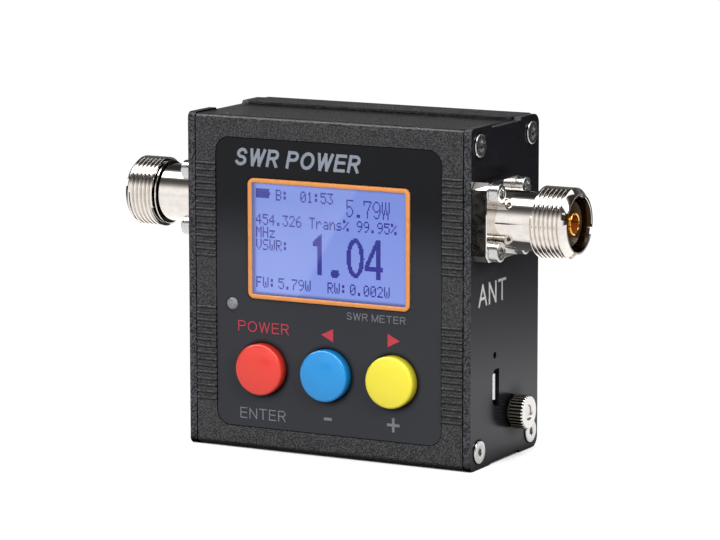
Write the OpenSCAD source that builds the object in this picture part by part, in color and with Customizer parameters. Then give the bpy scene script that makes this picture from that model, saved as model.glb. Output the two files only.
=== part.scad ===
// Digital SWR and power meter: a split extruded case with a display, three push buttons,
// a coaxial jack on each end plate, a charging socket and a ground terminal.
// Case frame of the modules: x = 0 at mid length, y = 0 on the front face, z = 0 on the base.
// The finished part stands with its origin at the bottom centre of its overall box.

/* [Case] */
// Height of the case
case_h = 76; // [72:0.5:84]
// Depth of the case from its front face to its rear face
case_d = 34.2; // [33:0.2:40]
// Length of the two extruded shells between the end plates
shell_len = 67.2; // [64:0.2:80]
// Thickness of the shells' front and rear walls
face_wall = 2; // [1.7:0.1:2.3]
// Thickness of the shells' top and bottom walls
rail_wall = 1.8; // [1.5:0.1:2.2]
// Radius of the front shell's long edges
edge_r = 1.2; // [0.6:0.1:1.6]
// Radius of the rear shell's long edges
rear_r = 0.9; // [0.4:0.1:1.8]
// How far the front shell's top lies below the ridge at its front edge
front_drop = 0.25; // [0:0.05:0.4]
// How far the front shell's top lies below the ridge at the seam
seam_drop = 0.75; // [0.5:0.05:1]
// Distance of the seam between the shells from the front face
seam_y = 22; // [20:0.5:23]
// Width of the groove that shows at the seam
seam_gap = 0.3; // [0.1:0.05:0.5]
// Length of the lap joint inside the seam
seam_lap = 2; // [1:0.1:3]
// Clearance across the lap joint
lap_fit = 0.05; // [0.02:0.01:0.15]
// Width of the rear shell's lip between the seam and its ridge
lip_w = 1.7; // [1:0.1:2.5]
// Radius of the screw channels in the shells' corners
channel_r = 2.3; // [1.9:0.1:2.6]

/* [Ribs] */
// Number of ribs in each group on the front face
rib_count = 15; // [6:1:16]
// Distance from one rib to the next
rib_pitch = 1.5; // [1.2:0.05:1.7]
// Radius of a rib's rounded back
rib_r = 0.35; // [0.25:0.05:0.5]
// How far a rib stands out of the front face
rib_h = 0.25; // [0.1:0.05:0.35]
// Half the distance between the middles of the two groups
rib_offset = 16.45; // [14:0.05:18]
// How far both groups lie below mid height
rib_drop = 0.3; // [0:0.05:1]

/* [End plates] */
// Thickness of an end plate
plate_t = 2; // [1.6:0.1:3]
// Radius of an end plate's front corners
plate_front_r = 1.3; // [0.6:0.1:2]
// Radius of an end plate's rear corners
plate_rear_r = 2.5; // [1:0.1:3]
// Distance of the edge recess from the front face
recess_y = 10.2; // [9:0.1:12]
// Length of the edge recess
recess_len = 14.2; // [10:0.1:15]
// Length of the slope at each end of the edge recess
recess_slope = 0.6; // [0.2:0.1:1.2]
// Depth of the shadow groove where a plate meets the shells
relief_depth = 0.35; // [0.2:0.05:0.6]
// Width of that shadow groove
relief_w = 0.25; // [0.1:0.05:0.5]

/* [Plate screws] */
// Distance of a screw from the plate's edges
screw_inset = 4; // [3.6:0.1:4.6]
// Radius of the thread
plate_screw_r = 1.25; // [1:0.05:1.5]
// Length of thread inside the shells
plate_screw_grip = 8; // [5:0.5:12]
// Radius of the head
plate_head_r = 2.6; // [2.3:0.05:2.8]
// Depth of the head's cone
plate_cone = 1.1; // [0.8:0.1:1.4]
// How far the head stands out of the plate
plate_head_proud = 0.45; // [0:0.05:0.6]
// Gap round the head in its countersink
sink_gap = 0.2; // [0.05:0.05:0.3]
// Gap round the shank in the plate
shank_gap = 0.3; // [0.1:0.05:0.4]
// Width across flats of the hex socket
plate_hex = 2; // [1.5:0.1:2.5]
// Depth of the hex socket
plate_hex_depth = 1; // [0.6:0.1:1.3]

/* [Front panel] */
// Width of the overlay panel
panel_w = 56.8; // [54:0.2:60]
// Height of the overlay panel
panel_h = 65.6; // [62:0.2:68]
// Corner radius of the overlay panel
panel_r = 3.3; // [1:0.1:5]
// Thickness of the overlay panel
panel_t = 0.7; // [0.5:0.05:0.9]
// How far the panel lies below the front face
panel_sink = 0.1; // [0:0.05:0.2]
// Gap round the panel in its pocket
panel_gap = 0.15; // [0.05:0.05:0.3]

/* [Display] */
// Outer width of the bezel
bezel_w = 40.85; // [38:0.05:43]
// Outer height of the bezel
bezel_h = 27.35; // [25:0.05:30]
// Outer corner radius of the bezel
bezel_r = 1.2; // [0.8:0.1:2]
// Width of the bezel's border
bezel_border = 1.2; // [0.9:0.05:1.8]
// How far the bezel stands out of the front face
bezel_proud = 0.25; // [0.1:0.05:0.6]
// Gap round the bezel in the panel and the shell
bezel_fit = 0.05; // [0.02:0.01:0.2]
// Sideways offset of the display from the case's middle
display_x = 0.2; // [-1:0.1:1]
// Height of the display's middle above mid height
display_lift = 10.3; // [9:0.1:12]
// Thickness of the clear window
window_t = 1.9; // [1.2:0.1:2.1]
// How far the window reaches under the border on each side
window_ledge = 0.6; // [0.3:0.05:0.7]
// Gap round the window in the bezel
window_fit = 0.05; // [0.02:0.01:0.1]
// How far the liquid crystal cell reaches past the bezel on each side
lcd_margin = 1.6; // [1:0.1:2]
// Thickness of the liquid crystal cell
lcd_t = 2.2; // [1.6:0.1:2.6]
// Thickness of the backlight
backlight_t = 2.6; // [2:0.1:2.8]
// How far the display board reaches past the bezel on each side
display_board_margin = 2.4; // [2:0.1:2.6]
// Thickness of the display board
display_board_t = 1.2; // [0.8:0.1:1.4]
// Length of the header strip between the boards
header_len = 30; // [20:1:36]
// Width of the header strip
header_w = 2.5; // [2:0.1:3]

/* [Buttons] */
// Radius of a button cap
cap_r = 5.9; // [5.4:0.05:6.4]
// How far a cap stands out of the front face
cap_proud = 3; // [2:0.1:4]
// Radius of a cap's front edge
cap_round = 0.8; // [0.3:0.05:1.1]
// Gap round a cap in the panel and the shell
cap_gap = 0.2; // [0.1:0.05:0.3]
// Wall thickness of a cap
cap_skin = 1.2; // [0.8:0.1:1.3]
// How far a cap's retaining rim reaches past its side
cap_rim_w = 0.8; // [0.5:0.1:1]
// Thickness of a cap's retaining rim
cap_rim_t = 0.8; // [0.5:0.1:1]
// Room between the front wall and the rim at rest
cap_rest = 0.3; // [0.1:0.05:0.4]
// Depth of a cap's socket for the switch stem
cap_socket = 3; // [2:0.1:3.4]
// Wall round a cap's socket
cap_boss_wall = 0.6; // [0.4:0.1:0.8]
// Distance between neighbouring buttons
button_pitch = 16.5; // [15.5:0.1:18]
// Distance of the buttons below mid height
button_drop = 19.2; // [18:0.1:20]
// Travel of a button
button_travel = 0.3; // [0.2:0.05:0.35]
// Width of a switch body
switch_w = 12; // [11:0.1:13]
// Height of a switch body above the board
switch_h = 3.5; // [3:0.1:4]
// Width of a switch's square stem
stem_w = 3.8; // [3:0.1:4]
// Gap between stem and socket
stem_fit = 0.05; // [0.02:0.01:0.1]
// Radius of a switch's plunger
plunger_r = 3.3; // [3:0.1:3.6]
// Running clearance of the plunger in its switch
plunger_fit = 0.05; // [0.02:0.01:0.1]
// Length of the plunger above its switch
plunger_rise = 1; // [0.6:0.1:1.4]
// Length of the plunger inside its switch
plunger_in = 1.2; // [0.8:0.1:1.4]

/* [Status light] */
// Radius of the lens
led_r = 1.45; // [1.2:0.05:1.5]
// How far the lens stands out of the front face
led_proud = 0.5; // [0.2:0.05:1]
// Gap round the lens
led_fit = 0.05; // [0.02:0.01:0.1]
// Radius of the lens collar behind the wall
led_collar_r = 1.9; // [1.7:0.05:2]
// Length of the collar
led_collar_t = 1; // [0.6:0.1:1.4]
// Distance of the light from the side of the panel
led_inset = 4; // [3.4:0.1:4.6]
// Least gap between the collar and the liquid crystal cell
led_gap = 0.2; // [0.1:0.05:0.4]
// Distance of the light below the display's middle
led_drop = 15.3; // [14:0.1:17]
// Radius of a lead of the light
led_lead_r = 0.25; // [0.15:0.05:0.35]
// Distance between the two leads
led_lead_pitch = 2.54; // [2:0.02:2.6]

/* [Boards] */
// Distance of the main board's front from the front face
board_y = 9.67; // [9.5:0.01:10.2]
// Thickness of the main board
board_t = 1.6; // [1.2:0.1:1.8]
// Gap between the main board and each end plate
board_end_gap = 0.6; // [0.3:0.1:1]
// Gap between the main board's long edges and the shell
board_edge_gap = 0.2; // [0.1:0.05:0.4]
// Gap on each face of the board in its card slot
board_fit = 0.1; // [0.05:0.01:0.2]
// Thickness of the card slot's ribs
slot_rib_w = 1.2; // [0.8:0.1:1.6]
// Height of the card slot's ribs
slot_rib_h = 1.5; // [1:0.1:2]
// Width of the microcontroller
chip_w = 10; // [7:0.5:12]
// Thickness of the microcontroller
chip_t = 1.4; // [0.8:0.1:1.6]
// Sideways place of the microcontroller
chip_x = 10; // [6:0.5:14]
// Distance of the microcontroller below mid height
chip_drop = 4; // [2:0.5:8]
// Thickness of the through line's copper strip
strip_t = 0.1; // [0.05:0.01:0.15]
// Width of the through line's copper strip
strip_w = 2.8; // [2:0.1:3.2]
// Radius of the through line's crossing between the board's faces
via_r = 0.4; // [0.3:0.05:0.5]
// Gap round the crossing in the board
via_gap = 0.02; // [0.01:0.01:0.05]
// Length of the coupler's shield can
shield_len = 36; // [30:1:44]
// Width of the shield can
shield_w = 15; // [12:0.5:18]
// Height of the shield can above the board
shield_h = 5; // [4:0.1:6]
// Sheet thickness of the shield can
shield_sheet = 0.3; // [0.2:0.05:0.5]
// Gap round the strip where it enters the can
shield_gap = 0.4; // [0.2:0.1:0.8]

/* [Battery] */
// Width of the cell
cell_w = 42; // [36:1:46]
// Height of the cell
cell_h = 38; // [30:1:44]
// Thickness of the cell
cell_t = 7.5; // [5:0.5:8]
// Corner radius of the cell
cell_r = 2; // [1:0.1:3]
// Thickness of the foam tape behind the cell
tape_t = 0.5; // [0.3:0.1:1]
// Margin of the tape inside the cell's outline
tape_margin = 4; // [2:0.5:8]
// Gap between the cell's side and the lead's elbow
lead_offset = 6; // [5:0.5:7]
// Radius of a lead
lead_r = 0.6; // [0.4:0.05:0.8]
// Distance between the two leads
lead_pitch = 2.5; // [2:0.1:3]
// Width and height of the board connector
connector_w = 4; // [3:0.1:5]
// Length of the board connector
connector_len = 6.5; // [6:0.1:8]
// Height of the board connector above the board
connector_h = 4.5; // [3:0.1:5.5]

/* [Charging socket] */
// Width of the socket's shell
usb_w = 7.8; // [7:0.1:8.4]
// Height of the socket's shell above the board
usb_h = 2.7; // [2.4:0.1:3]
// Length of the socket
usb_len = 5.5; // [4.5:0.1:7]
// Sheet thickness of the socket's shell
usb_skin = 0.3; // [0.2:0.05:0.4]
// Bevel of the socket's narrow side
usb_bevel = 1.1; // [0.8:0.1:1.3]
// Gap round the socket in the end plate's slot
usb_gap = 0.3; // [0.15:0.05:0.4]
// Height of the socket's middle above the base
usb_z = 16.95; // [15:0.05:19]
// How far the socket lies below the plate's outer face
usb_sink = 1; // [0.6:0.1:1.4]
// Radius of the hole over the charge light
pinhole_r = 0.75; // [0.5:0.05:1]
// Height of that hole above the base
pinhole_z = 24.35; // [23.5:0.05:27]
// Size of the charge light
charge_led = 1.5; // [1:0.1:1.8]

/* [Jacks] */
// Height of the jacks' axis above mid height
jack_lift = 17.55; // [15:0.05:19]
// Margin of the square flange past its screws
flange_edge = 2.4; // [2:0.1:2.8]
// Size of the flange's bevelled corners
flange_bevel = 1.45; // [0.8:0.05:1.8]
// Thickness of the flange
flange_t = 1.6; // [1.2:0.1:2]
// Thickness of the spacer under the right jack
spacer_t = 2; // [1:0.1:3]
// Radius of the plain barrel
barrel_r = 6.6; // [6.4:0.05:6.9]
// Length of the plain barrel
barrel_len = 9.1; // [7:0.1:12]
// Length of the cone from the barrel up to the thread
shoulder_len = 0.95; // [0.5:0.05:1.5]
// Outer radius of the thread
thread_r = 7.94; // [7.7:0.01:8.2]
// Length of the thread
thread_len = 6.9; // [5:0.1:9]
// Bevel at the rim
rim_bevel = 1.25; // [0.8:0.05:1.4]
// Inner radius of the socket
socket_r = 6.1; // [5.8:0.05:6.4]
// Depth of the socket
socket_depth = 9; // [8:0.1:11]
// Width of the rim's notches
notch_w = 1.5; // [1:0.1:2]
// Depth of the rim's notches
notch_depth = 1; // [0.6:0.1:1.2]
// Turn of the notches from the top towards the rear
notch_turn = 20; // [0:1:45]
// How far the insulator's face lies below the rim
insulator_sink = 1.7; // [1.4:0.1:2.4]
// Radius of the insulator's boss
insulator_r = 4.9; // [4.4:0.05:5.2]
// Thickness of the insulator's seat at the bottom of the socket
insulator_seat = 2; // [1.5:0.1:2.6]
// Radius of the insulator's stem through the end plate
insulator_stem_r = 4.4; // [4:0.05:4.6]
// Gap round the pieces that are pressed together
press_gap = 0.02; // [0.01:0.01:0.05]
// Gap round the insulator's stem in the spacer and the plate
stem_gap = 0.2; // [0.1:0.05:0.4]
// Outer radius of the centre contact
contact_r = 2.5; // [2.4:0.05:2.8]
// Radius of the centre contact's bore
contact_bore_r = 2; // [1.8:0.05:2.1]
// Length of the centre contact's bore
contact_bore_len = 7; // [5:0.1:7.5]
// How far the centre contact lies below the rim
contact_sink = 1.05; // [0.8:0.05:1.4]
// Radius of the solder pin
pin_r = 0.55; // [0.4:0.05:0.7]
// Reach of the solder pin inside the end plate
pin_reach = 3; // [2:0.1:4]
// Thread radius of the flange screws
jack_screw_r = 1.25; // [1:0.05:1.4]
// Gap round the flange screws in flange and spacer
jack_screw_gap = 0.15; // [0.05:0.05:0.3]
// Head radius of the flange screws
jack_head_r = 2.25; // [2:0.05:2.4]
// Head height of the flange screws
jack_head_h = 2.2; // [1.8:0.1:2.6]
// Width across flats of the flange screws' socket
jack_hex = 2; // [1.5:0.1:2.2]
// Depth of the flange screws' socket
jack_hex_depth = 1.2; // [0.8:0.1:1.4]
// Radius of the flange screws' washers
washer_r = 2.35; // [2.3:0.05:2.6]
// Thickness of the flange screws' washers
washer_t = 0.3; // [0.2:0.05:0.5]
// Gap between the washers and the barrel
washer_gap = 0.03; // [0.02:0.01:0.1]

/* [Ground terminal] */
// Distance of the terminal from the front face
ground_y = 21.6; // [21:0.1:22.4]
// Height of the terminal above the base
ground_z = 10.15; // [9.6:0.05:11]
// Radius of the stud
stud_r = 1.5; // [1.25:0.05:2]
// Length of the stud past the inner nut
stud_tail = 0.8; // [0.4:0.1:2]
// Radius of the knob over its knurl
knob_r = 3.85; // [3.4:0.05:4.2]
// Length of the knob
knob_len = 3.55; // [3:0.05:5]
// Running clearance of the knob on the stud
knob_fit = 0.05; // [0.02:0.01:0.1]
// Number of teeth of the knurl
knob_teeth = 42; // [30:1:44]
// Depth of the knurl
tooth_depth = 0.25; // [0.15:0.05:0.3]
// How far the stud's end lies below the knob's face
stud_sink = 0.4; // [0.2:0.1:1]
// Radius of the washer under the knob
ground_washer_r = 3; // [2.6:0.05:3.4]
// Thickness of the washer under the knob
ground_washer_t = 0.4; // [0.3:0.05:0.8]
// Width across flats of the inner nut
ground_nut_w = 5.5; // [5:0.1:6]
// Thickness of the inner nut
ground_nut_t = 2.4; // [1.8:0.1:3]

/* [Hidden] */
$fn = 64;
// Overshoot of the cutting shapes
cut = 1;
mid_h = case_h / 2;
plate_out = shell_len / 2 + plate_t;
cavity_low = seam_drop + rail_wall;
cavity_high = case_h - cavity_low;
ridge_y = seam_y + seam_gap + lip_w;
pocket_depth = panel_t + panel_sink;
display_z = mid_h + display_lift;
window_w = bezel_w - 2 * bezel_border;
window_h = bezel_h - 2 * bezel_border;
lcd_y = face_wall;
backlight_y = lcd_y + lcd_t;
display_board_y = backlight_y + backlight_t;
header_y = display_board_y + display_board_t;
lcd_left = display_x - bezel_w / 2 - lcd_margin;
led_x = min(led_inset - panel_w / 2, lcd_left - led_gap - led_collar_r);
led_z = display_z - led_drop;
button_z = mid_h - button_drop;
cap_back_y = face_wall + cap_rest + cap_rim_t;
cap_len = cap_back_y + cap_proud;
cap_boss_r = stem_w / sqrt(2) + stem_fit + cap_boss_wall;
switch_y = board_y - switch_h;
board_rear_y = board_y + board_t;
board_h = cavity_high - cavity_low - 2 * board_edge_gap;
board_len = shell_len - 2 * board_end_gap;
jack_z = mid_h + jack_lift;
ant_y = board_y - strip_t - press_gap - pin_r;
tx_y = board_rear_y + strip_t + press_gap + pin_r;
flange_pitch = sqrt(2) * (barrel_r + washer_gap + washer_r);
flange_w = flange_pitch + 2 * flange_edge;
rim_h = flange_t + barrel_len + shoulder_len + thread_len + rim_bevel;
socket_floor = rim_h - socket_depth;
cell_y = case_d - face_wall - tape_t - cell_t;
lead_x = -cell_w / 2 - lead_offset;
lead_y = cell_y + cell_t / 2;
pinhole_y = board_rear_y + charge_led / 2;
ridge_screw_y = case_d - screw_inset;

// Moves the case frame to the bottom centre of the overall box
module placed() {
    translate([-spacer_t / 2, -(case_d - cap_proud) / 2, 0]) children();
}

// Extrudes an outline drawn in depth and height along the case's length
module along_x(x0, len) {
    translate([x0, 0, 0]) rotate([90, 0, 90]) linear_extrude(len) children();
}

// Stands a shape on a plane of constant depth, its own z axis towards the front
module facing_front(x, y, z) {
    translate([x, y, z]) rotate([90, 0, 0]) children();
}

// Stands a shape on the right end plate's outer face, its own z axis pointing out
module on_right(y, z) {
    translate([plate_out, y, z]) rotate([0, 90, 0]) children();
}

module on_left(y, z) {
    mirror([1, 0, 0]) on_right(y, z) children();
}

module round_rect(w, h, r) {
    square([w - 2 * r, h], center = true);
    square([w, h - 2 * r], center = true);
    for (sx = [-1, 1], sy = [-1, 1])
        translate([sx * (w / 2 - r), sy * (h / 2 - r)]) circle(r);
}

// Rounded slab across the case's depth, from y0 back to y0 + t
module slab(x, z, y0, t, w, h, r) {
    facing_front(x, y0 + t, z) linear_extrude(t) round_rect(w, h, r);
}

module hexagon(flats) {
    circle(r = flats / sqrt(3), $fn = 6);
}

module button_places() {
    for (i = [-1:1]) translate([i * button_pitch, 0, button_z]) children();
}

module flange_places() {
    for (sx = [-1, 1], sy = [-1, 1])
        translate([sx * flange_pitch / 2, sy * flange_pitch / 2, 0]) children();
}

// Outlines of the case, drawn in depth and height

module rib_rows() {
    first = -(rib_count - 1) / 2 * rib_pitch;
    for (side = [-1, 1], i = [0:rib_count - 1])
        translate([rib_r - rib_h, mid_h - rib_drop + side * rib_offset + first + i * rib_pitch])
            circle(rib_r);
}

module screw_channels(y) {
    for (z = [screw_inset, case_h - screw_inset]) translate([y, z]) circle(channel_r);
}

module screw_holes(y) {
    for (z = [screw_inset, case_h - screw_inset])
        translate([y, z]) circle(plate_screw_r + press_gap);
}

module front_skin() {
    translate([0, front_drop + edge_r])
        square([seam_y, case_h - 2 * (front_drop + edge_r)]);
    polygon([[edge_r, front_drop], [seam_y, seam_drop],
        [seam_y, case_h - seam_drop], [edge_r, case_h - front_drop]]);
    for (z = [front_drop + edge_r, case_h - front_drop - edge_r])
        translate([edge_r, z]) circle(edge_r);
}

module front_outline() {
    difference() {
        union() {
            difference() {
                front_skin();
                translate([face_wall, cavity_low])
                    square([seam_y - face_wall + cut, cavity_high - cavity_low]);
            }
            rib_rows();
            intersection() {
                front_skin();
                screw_channels(screw_inset);
            }
            for (y = [board_y - board_fit - slot_rib_w, board_rear_y + board_fit],
                 z = [cavity_low, cavity_high - slot_rib_h])
                translate([y, z]) square([slot_rib_w, slot_rib_h]);
        }
        screw_holes(screw_inset);
        translate([seam_y - seam_lap, cavity_low - rail_wall / 2])
            square([seam_lap + cut, cavity_high - cavity_low + rail_wall]);
    }
}

module rear_skin() {
    lip_y = seam_y + seam_gap;
    translate([lip_y, seam_drop]) square([case_d - rear_r - lip_y, case_h - 2 * seam_drop]);
    translate([ridge_y, 0]) square([case_d - rear_r - ridge_y, case_h]);
    translate([ridge_y, rear_r]) square([case_d - ridge_y, case_h - 2 * rear_r]);
    for (z = [rear_r, case_h - rear_r]) translate([case_d - rear_r, z]) circle(rear_r);
}

module rear_outline() {
    tongue_low = cavity_low - rail_wall / 2 + lap_fit;
    difference() {
        union() {
            difference() {
                union() {
                    rear_skin();
                    translate([seam_y - seam_lap, tongue_low])
                        square([seam_lap + seam_gap + cut, case_h - 2 * tongue_low]);
                }
                translate([seam_y - seam_lap - cut, cavity_low])
                    square([case_d - face_wall - seam_y + seam_lap + cut, cavity_high - cavity_low]);
            }
            intersection() {
                rear_skin();
                screw_channels(ridge_screw_y);
            }
        }
        screw_holes(ridge_screw_y);
    }
}

// An end plate's outline, drawn in by inset all round
module plate_outline(inset) {
    low = inset;
    high = case_h - inset;
    difference() {
        union() {
            translate([plate_front_r, low]) square([case_d - plate_rear_r - plate_front_r, high - low]);
            translate([inset, plate_front_r])
                square([case_d - plate_rear_r - inset, case_h - 2 * plate_front_r]);
            translate([plate_front_r, plate_rear_r])
                square([case_d - inset - plate_front_r, case_h - 2 * plate_rear_r]);
            for (z = [plate_front_r, case_h - plate_front_r])
                translate([plate_front_r, z]) circle(plate_front_r - inset);
            for (z = [plate_rear_r, case_h - plate_rear_r])
                translate([case_d - plate_rear_r, z]) circle(plate_rear_r - inset);
        }
        for (flip = [0, 1]) translate([0, flip * case_h]) mirror([0, flip])
            polygon([[recess_y - recess_slope, -cut], [recess_y - recess_slope, inset],
                [recess_y, seam_drop + inset], [recess_y + recess_len, seam_drop + inset],
                [recess_y + recess_len + recess_slope, inset],
                [recess_y + recess_len + recess_slope, -cut]]);
    }
}

// An end plate on the right, with its screw holes and the holes of a jack at depth jack_y
module end_plate(jack_y) {
    inner = plate_out - plate_t;
    difference() {
        union() {
            along_x(inner + relief_w, plate_t - relief_w) plate_outline(0);
            along_x(inner, plate_t) plate_outline(relief_depth);
        }
        for (y = [screw_inset, ridge_screw_y], z = [screw_inset, case_h - screw_inset]) on_right(y, z) {
            translate([0, 0, -plate_t - cut])
                cylinder(r = plate_screw_r + shank_gap, h = plate_t + 2 * cut);
            translate([0, 0, -plate_cone])
                cylinder(r1 = plate_screw_r + shank_gap, r2 = plate_head_r + sink_gap, h = plate_cone);
        }
        on_right(jack_y, jack_z) translate([0, 0, -plate_t - cut]) {
            cylinder(r = insulator_stem_r + stem_gap, h = plate_t + 2 * cut);
            flange_places() cylinder(r = jack_screw_r + press_gap, h = plate_t + 2 * cut);
        }
    }
}

// Four screws of the right end plate
module plate_screws() {
    for (y = [screw_inset, ridge_screw_y], z = [screw_inset, case_h - screw_inset]) on_right(y, z)
        difference() {
            union() {
                translate([0, 0, -plate_t - plate_screw_grip])
                    cylinder(r = plate_screw_r, h = plate_t + plate_screw_grip);
                translate([0, 0, -plate_cone])
                    cylinder(r1 = plate_screw_r, r2 = plate_head_r, h = plate_cone);
                cylinder(r = plate_head_r, h = plate_head_proud);
            }
            translate([0, 0, plate_head_proud - plate_hex_depth])
                linear_extrude(plate_hex_depth + cut) hexagon(plate_hex);
        }
}

// Holes through the front for the bezel, the buttons and the status light
module front_openings() {
    depth = face_wall + 2 * cut;
    slab(display_x, display_z, -cut, depth, bezel_w + 2 * bezel_fit, bezel_h + 2 * bezel_fit,
        bezel_r + bezel_fit);
    button_places() facing_front(0, face_wall + cut, 0) cylinder(r = cap_r + cap_gap, h = depth);
    facing_front(led_x, face_wall + cut, led_z) cylinder(r = led_r + led_fit, h = depth);
}

module front_shell() {
    color("#2b2b2e") placed() difference() {
        along_x(-shell_len / 2, shell_len) front_outline();
        slab(0, mid_h, -cut, pocket_depth + cut, panel_w + 2 * panel_gap, panel_h + 2 * panel_gap,
            panel_r + panel_gap);
        front_openings();
    }
}

module rear_shell() {
    color("#2b2b2e") placed() along_x(-shell_len / 2, shell_len) rear_outline();
}

module left_end_plate() {
    color("#242427") placed() mirror([1, 0, 0]) end_plate(tx_y);
}

// Outline of the charging socket, drawn in depth and height, grown by gap
module usb_outline(gap) {
    low = usb_z - usb_w / 2 - gap;
    high = usb_z + usb_w / 2 + gap;
    near = board_rear_y - gap;
    far = board_rear_y + usb_h + gap;
    polygon([[near, low + usb_bevel], [near + usb_bevel, low], [far, low],
        [far, high], [near + usb_bevel, high], [near, high - usb_bevel]]);
}

module right_end_plate() {
    color("#242427") placed() difference() {
        end_plate(ant_y);
        along_x(plate_out - plate_t - cut, plate_t + 2 * cut) usb_outline(usb_gap);
        on_right(pinhole_y, pinhole_z) translate([0, 0, -plate_t - cut])
            cylinder(r = pinhole_r, h = plate_t + 2 * cut);
        on_right(ground_y, ground_z) translate([0, 0, -plate_t - cut])
            cylinder(r = stud_r + press_gap, h = plate_t + 2 * cut);
    }
}

module left_plate_screws() {
    color("#c9cbce") placed() mirror([1, 0, 0]) plate_screws();
}

module right_plate_screws() {
    color("#c9cbce") placed() plate_screws();
}

module front_panel() {
    color("#1f2022") placed() difference() {
        slab(0, mid_h, panel_sink, panel_t, panel_w, panel_h, panel_r);
        front_openings();
    }
}

module display_bezel() {
    depth = face_wall + bezel_proud;
    color("#f08a2c") placed() difference() {
        slab(display_x, display_z, -bezel_proud, depth, bezel_w, bezel_h, bezel_r);
        slab(display_x, display_z, -bezel_proud - cut, depth + 2 * cut, window_w, window_h,
            bezel_r - bezel_border / 2);
        slab(display_x, display_z, face_wall - window_t, window_t + cut,
            window_w + 2 * window_ledge, window_h + 2 * window_ledge, bezel_r - bezel_border / 2);
    }
}

module display_window() {
    color("#dfe6f5") placed() slab(display_x, display_z, face_wall - window_t, window_t,
        window_w + 2 * (window_ledge - window_fit), window_h + 2 * (window_ledge - window_fit),
        bezel_r - bezel_border / 2);
}

module lcd_cell() {
    color("#8f9df0") placed() slab(display_x, display_z, lcd_y, lcd_t,
        bezel_w + 2 * lcd_margin, bezel_h + 2 * lcd_margin, bezel_r / 2);
}

module lcd_backlight() {
    color("#f4f4f0") placed() slab(display_x, display_z, backlight_y, backlight_t,
        bezel_w + 2 * lcd_margin, bezel_h + 2 * lcd_margin, bezel_r);
}

module display_board() {
    color("#1d5a34") placed() slab(display_x, display_z, display_board_y, display_board_t,
        bezel_w + 2 * display_board_margin, bezel_h + 2 * display_board_margin, bezel_r);
}

module display_header() {
    header_z = display_z + bezel_h / 2;
    color("#19191b") placed() translate([display_x - header_len / 2, header_y, header_z - header_w / 2])
        cube([header_len, board_y - header_y, header_w]);
}

module status_led() {
    color("#9a9a98") placed() {
        facing_front(led_x, face_wall, led_z) {
            cylinder(r = led_r, h = face_wall + led_proud - led_r);
            translate([0, 0, face_wall + led_proud - led_r]) sphere(led_r);
        }
        facing_front(led_x, face_wall + led_collar_t, led_z) cylinder(r = led_collar_r, h = led_collar_t);
        for (side = [-1, 1])
            facing_front(led_x, board_y, led_z + side * led_lead_pitch / 2)
                cylinder(r = led_lead_r, h = board_y - face_wall - led_collar_t);
    }
}

// One button cap with its front towards -y
module cap(i) {
    stem_hole = stem_w + 2 * stem_fit;
    facing_front(i * button_pitch, cap_back_y, button_z) difference() {
        rotate_extrude() difference() {
            union() {
                square([cap_r - cap_round, cap_len]);
                square([cap_r, cap_len - cap_round]);
                translate([cap_r - cap_round, cap_len - cap_round]) intersection() {
                    circle(cap_round);
                    square(cap_round);
                }
                square([cap_r + cap_rim_w, cap_rim_t]);
            }
            translate([cap_boss_r, -cut]) square([cap_r - cap_skin - cap_boss_r, cap_len - cap_skin + cut]);
        }
        translate([-stem_hole / 2, -stem_hole / 2, -cut]) cube([stem_hole, stem_hole, cap_socket + cut]);
    }
}

// One switch plunger: a square stem on a round foot
module plunger(i) {
    stem_front = cap_back_y - cap_socket;
    foot_front = switch_y - plunger_rise;
    facing_front(i * button_pitch, switch_y + plunger_in, button_z) {
        cylinder(r = plunger_r, h = plunger_in + plunger_rise);
        translate([-stem_w / 2, -stem_w / 2, plunger_in])
            cube([stem_w, stem_w, plunger_rise + foot_front - stem_front]);
    }
}

module power_cap() { color("#ee3124") placed() cap(-1); }
module minus_cap() { color("#1b86dd") placed() cap(0); }
module plus_cap() { color("#f9ea13") placed() cap(1); }
module power_plunger() { color("#38383a") placed() plunger(-1); }
module minus_plunger() { color("#38383a") placed() plunger(0); }
module plus_plunger() { color("#38383a") placed() plunger(1); }

module switch_bodies() {
    bore = plunger_in + 2 * button_travel;
    color("#222224") placed() button_places() difference() {
        translate([-switch_w / 2, switch_y, -switch_w / 2]) cube([switch_w, switch_h, switch_w]);
        facing_front(0, switch_y + bore, 0) cylinder(r = plunger_r + plunger_fit, h = bore + cut);
    }
}

module main_board() {
    color("#1d5a34") placed() difference() {
        translate([-board_len / 2, board_y, cavity_low + board_edge_gap])
            cube([board_len, board_t, board_h]);
        facing_front(0, board_rear_y + cut, jack_z) cylinder(r = via_r + via_gap, h = board_t + 2 * cut);
    }
}

module microcontroller() {
    color("#161618") placed() translate([chip_x - chip_w / 2, board_rear_y, mid_h - chip_drop - chip_w / 2])
        cube([chip_w, chip_t, chip_w]);
}

// Copper line from one jack's pin to the other, crossing through the board at mid length
module through_line() {
    reach = shell_len / 2 - pin_reach / 3;
    color("#b87333") placed() {
        translate([-strip_w / 2, board_y - strip_t, jack_z - strip_w / 2])
            cube([reach + strip_w / 2 - board_end_gap, strip_t, strip_w]);
        translate([-reach + board_end_gap, board_rear_y, jack_z - strip_w / 2])
            cube([reach + strip_w / 2 - board_end_gap, strip_t, strip_w]);
        facing_front(0, board_rear_y + strip_t, jack_z) cylinder(r = via_r, h = board_t + 2 * strip_t);
    }
}

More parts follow.
